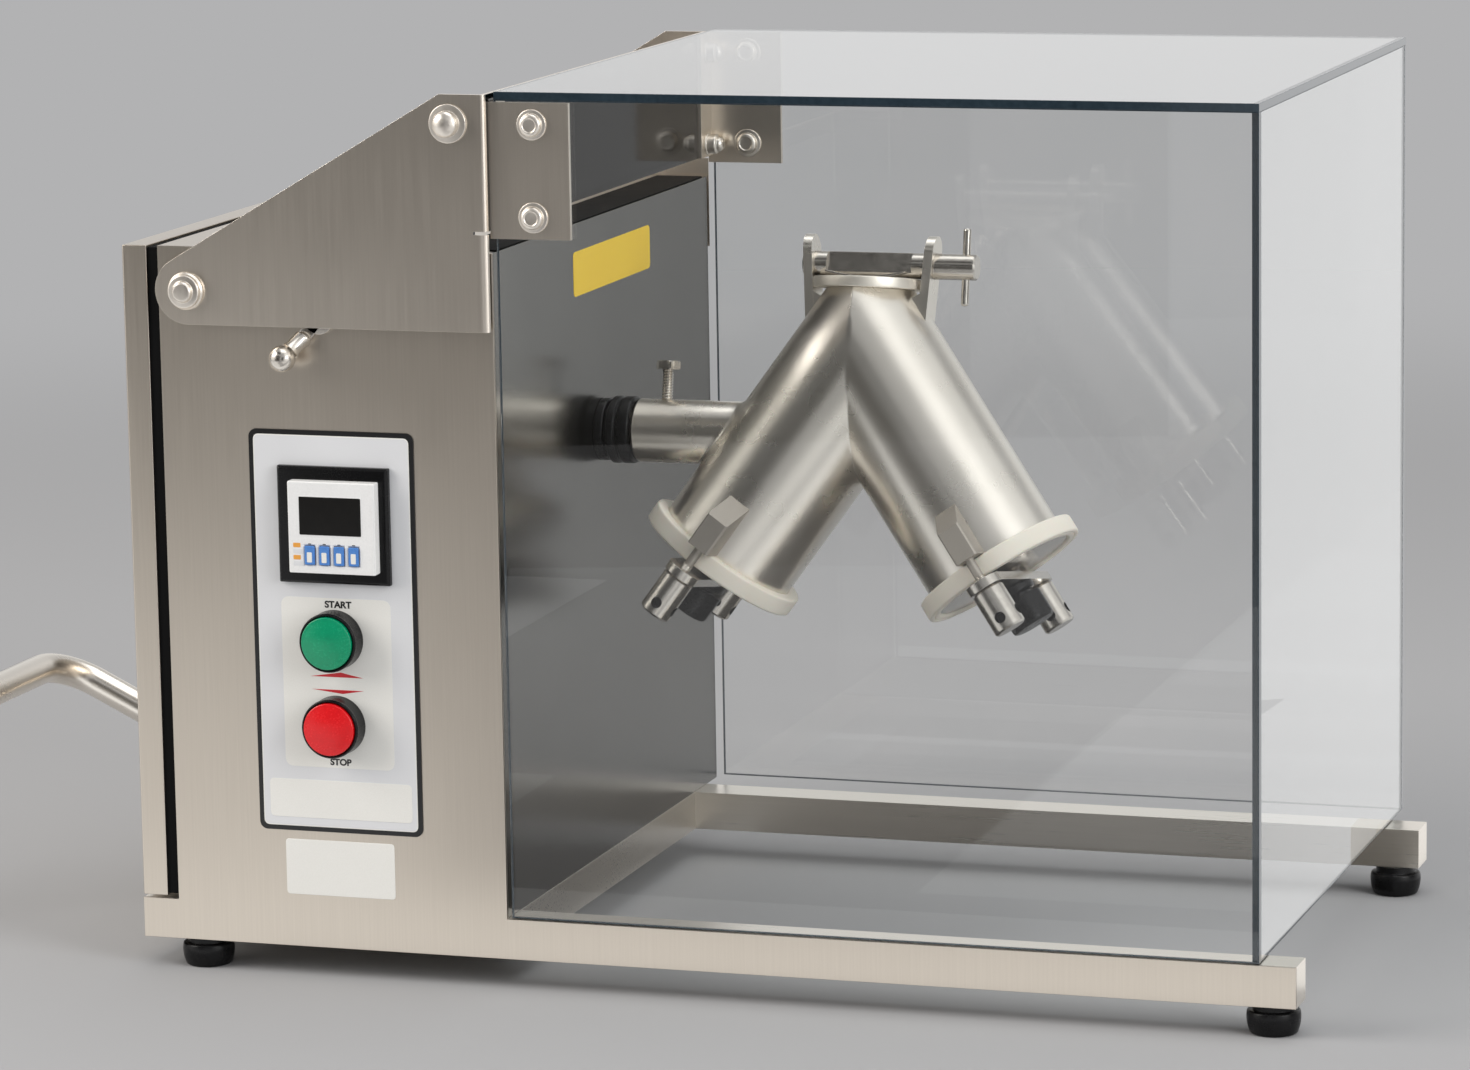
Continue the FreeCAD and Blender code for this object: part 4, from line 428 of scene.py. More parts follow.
def addPiece(name, patches, finish, body, replaced=(), crease=38):
    points, faces, count = [], [], 0
    for item in patches:  # a patch, or an array of points and an array of their faces
        faces += patchFaces(*item, count) if len(item) == 4 else (item[1] + count).tolist()
        points.append(item[0].reshape(-1, 3))
        count += len(points[-1])
    mesh = bpy.data.meshes.new(name)
    mesh.from_pydata(np.concatenate(points).tolist(), [], faces)
    work = bmesh.new()
    work.from_mesh(mesh)
    bmesh.ops.remove_doubles(work, verts=work.verts, dist=1e-6)
    bmesh.ops.dissolve_degenerate(work, dist=1e-6, edges=work.edges)
    bmesh.ops.recalc_face_normals(work, faces=work.faces)
    work.to_mesh(mesh)
    work.free()
    return finishObject(mesh, name, [finish], body, replaced, crease)


def labelOf(node):  # a CAD node's name as a piece's name
    words = node.split("_")
    return words[0] + "".join(word.capitalize() for word in words[1:])


def standFor(node, patches, finish, crease=38):  # a new piece in place of one CAD node
    return addPiece(labelOf(node), patches, finish, bodyOf[node], (node,), crease)


def bevelled(piece, width, segments=2, limit=30):
    modifier = piece.modifiers.new("foldedEdges", "BEVEL")
    modifier.width, modifier.segments = width * mm, segments
    modifier.limit_method, modifier.angle_limit = "ANGLE", math.radians(limit)
    modifier.harden_normals = True
    return piece


# degrees within which faces merge, steps of a fold, and the cosines that count as upright and as facing a way
copying = {"flat": 0.5, "foldSteps": 6, "upright": 0.99, "facing": 0.999}


def softCopy(node, finish, edge, segments=2, crease=38, other=None, bend=None):
    # a merged copy of a CAD node with worked edges; other is a second finish and the way its faces look, and
    # bend picks the edges of a sheet's fold, by their middles in machine millimetres, and gives their radius
    mesh = frame["nodes"][node].data.copy()
    mesh.materials.clear()
    work = bmesh.new()
    work.from_mesh(mesh)
    bmesh.ops.remove_doubles(work, verts=work.verts, dist=1e-6)
    flat = math.radians(copying["flat"])
    bmesh.ops.dissolve_limit(work, angle_limit=flat, verts=work.verts, edges=work.edges)
    if bend:
        isFold, radius = bend
        chosen = []
        for line in work.edges:
            first, last = (vertex.co for vertex in line.verts)
            upright = abs((first - last).normalized().z) > copying["upright"]
            x, y, _ = (np.array((first + last) / 2) - base[:, 3]) / mm
            if upright and isFold(x, y):
                chosen.append(line)
        bmesh.ops.bevel(work, geom=chosen, offset=radius * mm, segments=copying["foldSteps"], profile=0.5,
                        affect="EDGES")
    work.normal_update()
    for face in work.faces:
        face.material_index = int(other is not None and face.normal.dot(Vector(other[1])) > copying["facing"])
    work.to_mesh(mesh)
    work.free()
    finishes = [finish] if other is None else [finish, other[0]]
    piece = finishObject(mesh, labelOf(node), finishes, bodyOf[node], (node,), crease)
    return bevelled(piece, edge, segments) if edge else piece


def coordinates(mesh):
    points = np.zeros(len(mesh.vertices) * 3)
    mesh.vertices.foreach_get("co", points)
    return points.reshape(-1, 3)


def fullTurn(count):
    return np.linspace(0, 2 * np.pi, count, endpoint=False)


def joined(*parts):  # coordinates brought to one shape and put side by side
    return np.stack(np.broadcast_arrays(*parts), axis=-1)


def polar(radius, angle, height):
    return joined(radius * np.cos(angle), radius * np.sin(angle), height)


def rounded(rows, steps=6):
    # rows of x, y and, where the corner is round, its radius: it becomes p + (1 - t)^2 before + t^2 after
    points = np.array([row[:2] for row in rows], float)
    radii = [row[2] if len(row) > 2 else 0 for row in rows]
    before, after = np.roll(points, 1, axis=0) - points, np.roll(points, -1, axis=0) - points
    before /= np.maximum(np.linalg.norm(before, axis=1, keepdims=True), 1e-9)
    after /= np.maximum(np.linalg.norm(after, axis=1, keepdims=True), 1e-9)
    t = np.linspace(0, 1, steps)[:, None]
    stretches = []
    for point, toLast, toNext, radius in zip(points, before, after, radii):
        curve = point + (1 - t) ** 2 * toLast * radius + t ** 2 * toNext * radius
        stretches.append(curve if radius else point[None, :])
    return np.concatenate(stretches)


def turned(profile, place, turns=72, shape=None, closed=False):  # (radius, height) rows go round the axis
    profile = np.array(profile, float)
    angle = fullTurn(turns)
    radius, height = profile[:, :1], profile[:, 1:]
    if shape:
        radius = shape(radius, angle)
    return patch(carry(polar(radius, angle, height), place), closed)


def hexagon(halfAcrossCorners):  # the smaller of the turned radius and the six flats' radius
    def shape(radius, angle):
        flats = halfAcrossCorners * math.cos(math.pi / 6) / np.cos(np.mod(angle, math.pi / 3) - math.pi / 6)
        return np.minimum(radius, flats)
    return shape


def plate(outline, low, high, edge, place, steps=4):  # an outline in local x and y, raised from low to high
    outline = np.array(outline, float)
    along = np.roll(outline, -1, axis=0) - np.roll(outline, 1, axis=0)
    inward = np.column_stack([-along[:, 1], along[:, 0]])
    inward /= np.linalg.norm(inward, axis=1, keepdims=True)
    if np.sum(np.cross(outline, np.roll(outline, -1, axis=0))) < 0:
        inward = -inward
    turn = np.linspace(0, math.pi / 2, steps)
    inset = np.concatenate([edge * (1 - np.sin(turn)), edge * (1 - np.cos(turn))])
    height = np.concatenate([low + edge * (1 - np.cos(turn)), high - edge * (1 - np.sin(turn))])[:, None]
    flat = outline[None] + inward[None] * inset[:, None, None]
    return patch(carry(joined(flat[..., 0], flat[..., 1], height), place), capped=True)


def rectangle(x0, y0, x1, y1, corner, steps=6):
    return rounded([(x0, y0, corner), (x1, y0, corner), (x1, y1, corner), (x0, y1, corner)], steps)


def frontPlace(y):  # a frame on the front: local x to the right, local y up, local z toward the viewer
    return at(0, y, 0, towardFront)


def swept(path, radius, normal, place, turns=40):  # a round tube along a path that lies in one plane
    along = np.gradient(path, axis=0)
    along /= np.linalg.norm(along, axis=1, keepdims=True)
    normal = np.broadcast_to(np.array(normal, float), along.shape)
    across = np.cross(along, normal)
    angle = fullTurn(turns)[None, :, None]
    points = path[:, None] + radius * (np.cos(angle) * normal[:, None] + np.sin(angle) * across[:, None])
    return patch(carry(points, place), capped=True)


# Cabinet and base

# node: its finish, the width of its worked edges in millimetres, and their steps where they aren't two
cabinet = {
    "front_plate": (groundSheet, 0.5),
    "cabinet_shell": (groundSheet, 0.9),
    "partition_wall": (mirrorWallPaintedDark, 0.3),
    "service_cover": (groundSheet, 0.4, 3),
    "cover_gasket": (blackFoamAndShade, 0.5),
    "base_frame": (railSheetPaintedLight, 0.6),
    "mains_inlet": (blackAbs, 0.5),
}
for node, look in cabinet.items():
    softCopy(node, *look)

# a thin black strip of painted shade on the cabinet's top under the guard's cross panel, where the gap lies in
# shade
shadeStrip = {"start": 166, "end": 191.5, "inset": 6, "corner": 1, "thickness": 0.8, "edge": 0.2}


def addShadeStrip():
    low, high = nodeBox("cabinet_shell")
    front, back = low[1] + shadeStrip["inset"], high[1] - shadeStrip["inset"]
    outline = rectangle(shadeStrip["start"], front, shadeStrip["end"], back, shadeStrip["corner"], 3)
    strip = plate(outline, 0, shadeStrip["thickness"], shadeStrip["edge"], at(0, 0, high[2]), 2)
    addPiece("paintedShadeStrip", [strip], blackFoamAndShade, "base")


addShadeStrip()
print("cabinet and base dressed")

feet = {
    "radius": 13, "neck": 10, "height": 15, "neckHeight": 3.5, "inset": 13.5, "leftInset": 28.5,
    "side": [(0.86, 1, 1.2), (0.97, 0.72, 1.6), (1, 0.42, 1.6)],  # shares of radius and height, and corners
    "shoulder": 0.96,  # a share of the radius
}


def addFeet():
    high = nodeBox("base_frame")[1]
    places = [(x, y) for x in (feet["leftInset"], high[0] - feet["inset"])
              for y in (feet["inset"], high[1] - feet["inset"])]
    height, radius, neck, top = feet["height"], feet["radius"], feet["neck"], -feet["neckHeight"]
    side = [(radius * wide, -height * tall, corner) for wide, tall, corner in feet["side"]]
    shoulder = (radius * feet["shoulder"], top, 1.0)
    profile = rounded([(0, -height), *side, shoulder, (neck, top, 0.5), (neck, 0), (0, 0)])
    standFor("rubber_feet", [turned(profile, at(x, y, 0)) for x, y in places], blackRubber)


addFeet()

handle = {
    "tilt": 26, "radius": 7.75, "bend": 24, "grip": 124, "endRound": 1.5,
    "foot": 48, "flange": 21, "flangeGauge": 4, "weldFoot": 3.4, "weldTop": 0.6, "weldRise": 2.6,
}


def addHandle():
    tilt, radius, bend = math.radians(handle["tilt"]), handle["radius"], handle["bend"]
    post = (-nodeBox("carry_handle")[0][0] - radius) / math.cos(tilt)
    depth = middleOf("drive_shaft")[1]
    sin, cos = math.sin(tilt), math.cos(tilt)
    place = at(0, depth, handle["foot"], (sin, 0, cos), (cos, 0, -sin))
    bow = np.linspace(0, math.pi / 2, 16)
    turn = np.column_stack([bend - post - bend * np.sin(bow), bend * (np.cos(bow) - 1), 0 * bow])
    straight = np.linspace(0, 1, 12)[:, None]
    # the tube starts inside the flange, short of the cover's face
    start = np.array([-(radius * sin + handle["weldTop"]) / cos, 0, 0])
    end = np.array([-post, -handle["grip"] + handle["endRound"], 0])
    first, last = start + (turn[0] - start) * straight[:-1], turn[-1] + (end - turn[-1]) * straight[1:]
    path = np.concatenate([first, turn, last])
    soft = handle["endRound"]
    closing = np.linspace(0, math.pi / 2, 6)
    profile = [(radius - soft + soft * math.cos(angle), soft * math.sin(angle)) for angle in closing]
    tip = turned(profile + [(0, soft)], makeFrame(carry(path[-1], place), -place[:, 1]), 40)
    wide, gauge, rise = handle["flange"], handle["flangeGauge"], handle["flangeGauge"] + handle["weldRise"]
    flange = rounded([(0, 0), (wide, 0), (wide, gauge, 1.2), (radius + handle["weldFoot"], gauge, 1.5),
                      (radius + handle["weldTop"], rise, 0.8), (0, rise)])
    seat = turned(flange, at(0, depth, handle["foot"], towardLeft, towardFront))
    standFor("carry_handle", [swept(path, radius, (0, 0, 1), place), tip, seat], buffedTube)


addHandle()
print("feet and handle made")


# Controls

# boxes are left, foot, right, head and corner in millimetres of the front
panel = {
    "corner": 5.5, "border": 2.9, "line": 0.5, "lift": 0.06,
    "white": (78.7, 91, 135.8, 175.4, 4.5),
    "plate": (70, 65.3, 144.5, 84.4, 2.5),
    "marks": (((93, 136.3), (120.6, 136.3), (109, 138.7)), ((93.5, 130), (109.7, 128.1), (120.8, 130))),
    "words": {"START": (106.8, 170.6, 3.5), "STOP": (107.1, 92.3, 3.4)},  # middle, foot and height
}
lettering = {"bold": 0.035, "depth": 0.01, "wide": 1.04}  # in letter heights, and a stretch of the width
inkEdge = 0.4  # the share of an ink's thickness that its edge rounds off


def addInk(name, outline, front, thickness, finish, body="base"):
    film = plate(outline, 0, thickness, thickness * inkEdge, frontPlace(front), 2)
    return addPiece(name, [film], finish, body)


def addWord(text, centre, low, tall, front):
    curve = bpy.data.curves.new(f"word{text}", "FONT")
    curve.body, curve.align_x, curve.size = text, "CENTER", 1
    curve.offset, curve.extrude = lettering["bold"], lettering["depth"]
    holder = bpy.data.objects.new("wordHolder", curve)
    mesh = bpy.data.meshes.new_from_object(holder)
    bpy.data.objects.remove(holder)
    points = coordinates(mesh)
    scale = tall / np.ptp(points[:, 1])
    points[:, 0] = (points[:, 0] - points[:, 0].mean()) * scale * lettering["wide"] + centre
    points[:, 1] = (points[:, 1] - points[:, 1].min()) * scale + low
    points[:, 2] = (points[:, 2] - points[:, 2].min()) * scale
    mesh.vertices.foreach_set("co", carry(points, frontPlace(front)).ravel())
    finishObject(mesh, f"word{text.capitalize()}", [blackInk], "base", crease=30)


def addPanel():
    softCopy("control_overlay", blackInk, 0.1)
    (x0, front, z0), (x1, _, z1) = nodeBox("control_overlay")
    lift = panel["lift"]

    def within(inset):
        return rectangle(x0 + inset, z0 + inset, x1 - inset, z1 - inset, panel["corner"] - inset, 8)

    addInk("panelLine", within(panel["border"] - panel["line"]), front, lift, whiteInk)
    addInk("panelField", within(panel["border"]), front - lift, lift, greyFilm)
    addInk("buttonField", rectangle(*panel["white"], 8), front - 2 * lift, lift, whiteInk)
    addInk("panelPlate", rectangle(*panel["plate"], 8), front - 2 * lift, lift * 2, whiteInk)
    for i, corners in enumerate(panel["marks"]):
        addInk(f"redMark{i + 1}", np.array(corners), front - 3 * lift, lift, redInk)
    for word, (centre, foot, tall) in panel["words"].items():
        addWord(word, centre, foot, tall, front - 3 * lift)


addPanel()

lowerPlate = {"box": (77.2, 26.3, 134.3, 54.2, 2.0), "thickness": 0.35}
addInk("lowerPlate", rectangle(*lowerPlate["box"], 8), 0, lowerPlate["thickness"], whiteInk)

wallPlate = {"box": (117, 309.6, 235, 332, 3), "thickness": 0.4, "edge": 0.15}


def addWallPlate():
    right = nodeBox("partition_wall")[1][0]
    place = at(right, 0, 0, towardRight, towardBack)
    label = plate(rectangle(*wallPlate["box"], 8), 0, wallPlate["thickness"], wallPlate["edge"], place, 2)
    piece = addPiece("wallPlate", [label], yellowFilm, "base")
    piece.visible_glossy = False


addWallPlate()

timer = {
    "display": (93.7, 208.2, 125.7, 226.9, 0.6), "window": 0.18, "frame": 0.5, "frameLift": 0.1,
    "chart": (90.2, 192.6, 95.6, 204.6), "bars": 4, "barGaps": (0.3, 0.5), "barShort": 1.6, "barLift": 0.08,
    "keys": 4, "keyPatch": (2.6, 5.0), "keyFoot": 1.2, "inkLift": 0.06,
    "tickHalf": 0.8, "tick": (0.7, 1.2),  # above the key
}


def addTimer():
    softCopy("timer_case", blackAbs, 0.5)
    softCopy("timer_face", whiteAbs, 0.7, 3)
    front = nodeBox("timer_face")[0][1]
    x0, z0, x1, z1, corner = timer["display"]
    edge, lift = timer["frame"], timer["inkLift"]
    window = rectangle(x0, z0, x1, z1, corner, 5)
    addInk("displayWindow", window, front, timer["window"], darkGlass)
    rim = rectangle(x0 - edge, z0 - edge, x1 + edge, z1 + edge, corner + edge, 5)
    addInk("displayRim", rim, front, timer["frameLift"], whiteAbs)
    left, foot, right, head = timer["chart"]
    bands = np.linspace(foot, head, timer["bars"] + 1)
    under, over = timer["barGaps"]
    for i in range(timer["bars"]):
        finish, short = (orangeInk, timer["barShort"]) if i % 2 else (greyFilm, 0)
        bar = rectangle(left, bands[i] + under, right - short, bands[i + 1] - over, 0.3, 3)
        addInk(f"chartBar{i + 1}", bar, front, timer["barLift"], finish)
    for i in range(1, timer["keys"] + 1):
        node = f"timer_key_{i}"
        softCopy(node, blueKeyFilm, 0.35)
        low, high = nodeBox(node)
        middle, half = (low[0] + high[0]) / 2, timer["keyPatch"][0] / 2
        bottom = low[2] + timer["keyFoot"]
        mark = rectangle(middle - half, bottom, middle + half, bottom + timer["keyPatch"][1], 0.5, 4)
        addInk(f"keyMark{i}", mark, low[1], lift, whiteInk, bodyOf[node])
        half, (under, over) = timer["tickHalf"], timer["tick"]
        tick = rectangle(middle - half, high[2] + under, middle + half, high[2] + over, 0.15, 3)
        addInk(f"keyTick{i}", tick, front, lift, blackInk)


addTimer()

button = {
    "radius": 14.75, "rim": 1.45, "floor": 3.0, "bore": 5.5, "neck": 10.9,
    # the bezel narrows to these shares of its radius so far from the panel and from its front
    "waist": (0.985, 2.2), "throat": (0.97, 2.4), "crown": 1.2, "lip": (0.5, 0.2),
    "travelSeat": 3.6, "stem": 5, "gap": 0.35, "dome": 1.5, "domeInset": 0.9, "skirt": 1.0,
}


def addButton(label, capFinish):
    low, high = nodeBox(f"{label}_bezel")
    capLow, capHigh = nodeBox(f"{label}_cap")
    place = at((low[0] + high[0]) / 2, 0, (low[2] + high[2]) / 2, towardFront)
    front, back, stand, stem = -low[1], -high[1], -capLow[1], -capHigh[1]
    radius, bore, neck = button["radius"], button["bore"], button["neck"]
    inner = radius - button["rim"]
    panelFace = -nodeBox("control_overlay")[0][1]
    floor = panelFace + button["floor"]
    (waist, low), (throat, high), (inset, drop) = button["waist"], button["throat"], button["lip"]
    bezel = rounded([
        (bore, back), (neck, back), (neck, panelFace), (radius, panelFace, 0.3),
        (radius * waist, panelFace + low, 0.8), (radius * throat, front - high, 0.8),
        (radius, front - button["crown"], 0.5), (radius - inset, front, 0.4), (inner, front - drop, 0.4),
        (inner, floor, 0.3), (bore, floor),
    ], 5)
    standFor(f"{label}_bezel", [turned(bezel, place, 96, closed=True)], blackAbs)
    rim, seat = inner - button["gap"], floor + button["travelSeat"]
    edge = stand - button["dome"]
    bow = 1 - np.linspace(0, 1, 10)  # the dome's height falls with the square of the radius
    dome = np.column_stack([(rim - button["domeInset"]) * bow, stand - button["dome"] * bow ** 2])
    side = (rim, edge - button["skirt"])
    profile = np.concatenate([
        [(0, stem), (button["stem"], stem), (button["stem"], seat), (rim, seat), side],
        rounded([side, (rim, edge, 0.7), dome[0]], 5)[1:],
        dome[1:],
    ])
    standFor(f"{label}_cap", [turned(profile, place, 96)], capFinish)


addButton("start", greenCapPlastic)
addButton("stop", redCapPlastic)

latch = {
    "ball": 6.5, "ballStart": 0.62, "shank": 4.0, "flare": (0.9, 5.6), "neckEnd": 1.2, "root": 14,
    "stand": 4.6, "reach": 24.4, "hub": 8, "turn": 51, "bar": 3.4, "barEnd": 2, "sheet": (0.3, 2.7),
    "pin": 4, "pinReach": (-12, 0.5), "tail": -2, "footSpan": (-0.6, 0.4),  # past the stand's two ends
}


def addLatch():
    centre = jointPlace("latch_swing") * (1, 0, 1)
    turn = math.radians(latch["turn"])
    way = np.array([-math.cos(turn), 0, -math.sin(turn)])
    radius, shank, stand = latch["ball"], latch["shank"], latch["stand"]
    ball = centre + way * latch["reach"] + (0, nodeBox("latch_knob")[0][1] + radius, 0)
    root = centre + way * latch["root"] + (0, -stand, 0)
    reach = np.linalg.norm(ball - root)
    bow = np.linspace(-math.pi / 2 + latch["ballStart"], math.pi / 2, 26)
    sphere = np.column_stack([radius * np.cos(bow), reach + radius * np.sin(bow)])
    widen, before = latch["flare"]
    tail, neckEnd = latch["tail"], reach - radius - latch["neckEnd"]
    stem = [(0, tail), (shank, tail), (shank, neckEnd), (shank + widen, reach - before)]
    profile = np.concatenate([stem, sphere, [(0, reach + radius)]])
    arm = turned(profile, makeFrame(carry(root, base), ball - root), 56)
    low, high = latch["footSpan"][0], stand + latch["footSpan"][1]
    foot = rounded([(0, low), (shank, low, 0.3), (shank, high, 1.5), (0, high)])
    neck = turned(foot, at(*(root * (1, 0, 1)), towardFront), 48)
    pivot = at(*centre, towardFront)
    (back, front), wide = latch["sheet"], latch["hub"]
    hub = turned(rounded([(0, back), (wide, back, 0.3), (wide, front, 0.3), (0, front)]), pivot, 48)
    (sunk, proud), thin = latch["pinReach"], latch["pin"]
    pin = turned([(0, sunk), (thin, sunk), (thin, proud), (0, proud)], pivot, 32)
    half, end = latch["bar"], latch["barEnd"]
    outline = rectangle(end, -half, latch["root"] + end, half, 1)
    bar = plate(outline, back, front, 0.2, makeFrame(carry(centre, base), towardFront, way), 3)
    standFor("latch_lever", [hub, pin, bar], turnedSteel, 30)
    standFor("latch_knob", [arm, neck], turnedSteel, 30)


addLatch()
print("controls made")


# Drive line

drive = {"shaft": 12.5, "collar": 19, "collarLength": 12, "collarGap": 0.3}
# the seal's lip and ribs: radius, height over the wall and corner
seal = {
    "bore": 12.8, "neck": 13.8, "lip": 17, "lipRound": (1.2, 0.4),
    "ribs": [(15.8, 0, 0.6), (15.8, 4.5, 0.9), (14, 4.9, 0.3), (14, 6.3, 0.3), (17, 6.7, 0.7),
             (17, 10.4, 0.7), (16.1, 10.9, 0.2), (16.1, 12, 0.2), (17, 12.5, 0.7)],
}
# node: its finish and the width of its worked edges
driveParts = {
    "gearmotor": (motorEnamel, 0.8),
    "gearbox": (castAlloy, 0.8),
    "flange_bearing": (castAlloy, 0.8),
    "motor_bracket": (groundSheet, 0.5),
    "controller_board": (greenBoard, 0.2),
    "contact_blocks": (blackAbs, 0.6),
}


def addDrive():
    low, high = nodeBox("drive_shaft")
    place = at(0, *middleOf("drive_shaft")[1:], towardRight, towardFront)
    shaft, wide = drive["shaft"], drive["collar"]
    near = nodeBox("gearbox")[1][0] + drive["collarGap"]
    far = near + drive["collarLength"]
    profile = rounded([(0, low[0]), (shaft, low[0], 1), (shaft, near), (wide, near, 0.6), (wide, far, 0.6),
                       (shaft, far), (shaft, high[0], 1), (0, high[0])])
    standFor("drive_shaft", [turned(profile, place, 64)], turnedSteel)
    wall = nodeBox("partition_wall")[1][0]
    start, end = (corner[0] for corner in nodeBox("shaft_seal"))
    bore, neck, lip = seal["bore"], seal["neck"], seal["lip"]
    ribs = [(radius, wall + rise, corner) for radius, rise, corner in seal["ribs"]]
    inset, drop = seal["lipRound"]
    profile = rounded([(bore, start), (neck, start), (neck, wall), *ribs, (lip, end - drop, 1.3),
                       (lip - inset, end, 0.5), (bore, end, 0.2)], 5)
    standFor("shaft_seal", [turned(profile, place, 96, closed=True)], blackRubber)
    for node, look in driveParts.items():
        softCopy(node, *look)


addDrive()
print("drive line dressed")


# Blending shell. In the shell's frame the leg axes meet at (0, 0, apex) and fall away at the half angle to
# the left and right; a point of a leg is apex + s a + r (cos f o + sin f y), with a down the leg, o outward.

shell = {"half": 34.8, "apex": 40.9, "radius": 36.7, "wall": 2.0, "end": 125.0, "port": 74.0,
         "edge": 0.5, "crease": 28}
halfAngle = math.radians(shell["half"])
sinHalf, cosHalf = math.sin(halfAngle), math.cos(halfAngle)


def legSurface(hand, radius, rows=24, columns=160):
    # s starts at the mitre, -r cos f / tan(half), or at the port's rim,
    # (apex - port + r cos f sin(half)) / cos(half)
    drop = shell["apex"] - shell["port"]
    cornerAngle = math.acos(-drop * sinHalf / radius)  # where the mitre meets the port's rim
    opening = np.linspace(-cornerAngle, cornerAngle, columns // 3, endpoint=False)
    seam = np.linspace(cornerAngle, 2 * math.pi - cornerAngle, columns - columns // 3, endpoint=False)
    angle = np.concatenate([opening, seam])
    mitre = -radius * np.cos(angle) / math.tan(halfAngle)
    rim = (drop + radius * np.cos(angle) * sinHalf) / cosHalf
    start = np.maximum(mitre, rim)
    share = np.linspace(0, 1, rows)[:, None] ** 1.2  # closer rows near the seam
    s = start + (shell["end"] - start) * share
    out, side = radius * np.cos(angle), radius * np.sin(angle)
    x = hand * (s * sinHalf + out * cosHalf)
    z = shell["apex"] - s * cosHalf + out * sinHalf
    return joined(x, side, z), columns // 3


def addShell():
    patches = []
    for hand in (-1, 1):
        outer, rimCount = legSurface(hand, shell["radius"])
        inner, _ = legSurface(hand, shell["radius"] - shell["wall"])
        lip = np.stack([outer[-1], inner[-1]])
        opening = np.stack([outer[0, :rimCount + 1], inner[0, :rimCount + 1]])
        patches += [patch(carry(surface, shellFrame)) for surface in (outer, inner, lip)]
        patches.append(patch(carry(opening, shellFrame), loopColumns=False))
    crease = shell["crease"]
    bevelled(standFor("v_shell", patches, buffedTube, crease), shell["edge"], limit=crease)


addShell()

trunnion = {"radius": 16, "bore": 12.55, "chamfer": 1.4, "weld": 2.6, "sunk": 0.5, "edge": 0.25, "crease": 32}


def addTrunnion():
    # the tube ends where it meets the leg: x = ((z - apex) sin(half) - sqrt(R^2 - y^2)) / cos(half)
    start = nodeBox("trunnion_tube")[0][0] - (shellFrame[0, 3] - base[0, 3]) / mm
    angle = fullTurn(96)

    def meeting(radius):
        y, z = radius * np.sin(angle), radius * np.cos(angle)
        return ((z - shell["apex"]) * sinHalf - np.sqrt(shell["radius"] ** 2 - y ** 2)) / cosHalf

    def ring(radius, x):
        return joined(x, radius * np.sin(angle), radius * np.cos(angle))

    outer, weld, bore, chamfer = (trunnion[name] for name in ("radius", "weld", "bore", "chamfer"))
    rings = [ring(bore, start), ring(outer - chamfer, start), ring(outer, start + chamfer)]
    for share in np.linspace(0.05, 0.95, 10):
        rings.append(ring(outer, (start + chamfer) * (1 - share) + (meeting(outer) - weld) * share))
    for turn in np.linspace(0, math.pi / 2, 7):  # the weld's hollow fillet
        radius = outer + weld * (1 - math.cos(turn))
        rings.append(ring(radius, meeting(radius) - weld * (1 - math.sin(turn))))
    for radius in (outer + weld, bore):
        rings.append(ring(radius, meeting(radius) + trunnion["sunk"]))
    tube = patch(carry(np.array(rings), shellFrame), loopRows=True)
    crease = trunnion["crease"]
    bevelled(standFor("trunnion_tube", [tube], buffedTube, crease), trunnion["edge"], limit=crease)


addTrunnion()

clampBolt = {
    "seat": 31, "tip": 12.8,  # over the shaft's axis
    "head": [(0, 4.5), (4.6, 4.5), (5.6, 4.3), (6.4, 3.8), (6.4, 0.5), (5.9, 0), (0, 0)],
    "corners": 6.4, "shank": 2.95, "pitch": 1.4, "depth": 0.6, "overlap": 0.3,
}


def thread(radius, depth, pitch, low, high, turns=36, stepsPerPitch=8):
    # radius falls by the depth times a triangle wave of height over pitch less the turn
    height = np.linspace(low, high, int((high - low) / pitch * stepsPerPitch))[:, None]
    angle = fullTurn(turns)
    wave = np.abs(np.mod(height / pitch - angle[None] / (2 * np.pi), 1) - 0.5) * 2
    return polar(radius - depth * wave, angle, height)


def addClampBolt():
    place = makeFrame(jointByName["clamp_bolt_turn"]["pos_m"], shellUp)
    above = np.dot(place[:, 3] - shellFrame[:, 3], shellUp) / mm
    seat, tip = clampBolt["seat"] - above, clampBolt["tip"] - above
    head = turned(np.array(clampBolt["head"]) + (0, seat), place, 72, hexagon(clampBolt["corners"]))
    shank, depth, pitch = (clampBolt[name] for name in ("shank", "depth", "pitch"))
    screw = thread(shank, depth, pitch, tip, seat + clampBolt["overlap"])
    standFor("clamp_bolt", [head, patch(carry(screw, place), capped=True)], turnedSteel, 30)


addClampBolt()
print("shell and trunnion made")

# heights lie on the leg's axis
legEnd = {
    "ringStart": 121, "ringEnd": 130.5, "ringRadius": 43, "lipRadius": 33, "lip": 127, "fit": 0.05,
    "mouth": (0.9, 1.0),  # the chamfer inside the ring: its width and depth
    "groove": [(2.4, 0, 0.3), (2.6, 0.7, 0.2), (3.0, 0, 0.3)],  # in from the rim, depth and corner
    "coverLift": 0.02, "coverFit": 0.15, "coverGauge": 2.5,
    "boss": [(9.5, 0, 0.8), (7, 1.2, 0.5), (0, 1.2)],  # radius, rise over the cover and corner
    "barStart": 133.0, "stud": 48.0, "studThread": (2.62, 0.3, 0.8),  # radius, depth and pitch
    "nutStart": 137.8, "knobStart": 138.0, "knobCorners": 12.4,
    "knobFoot": [(0, -7), (4, -7, 0.4), (4, 0), (10.5, 0, 0.6), (10.5, 3.6, 0.9), (7, 4.2, 0.4),
                 (7, 6.2, 0.3), (0, 6.2)],
    "knobGrip": [(0, 6), (11.5, 6, 0.9), (11.5, 20.8, 2.4), (0, 20.8)],
}

nut = {"radius": 8.25, "edge": 1.0, "length": 22.5, "holeRadius": 2.8, "holePlace": 16.0, "holeDepth": 5.3,
       "columns": 96, "gap": 4, "reach": 7, "skin": 0.6, "clear": 0.3}


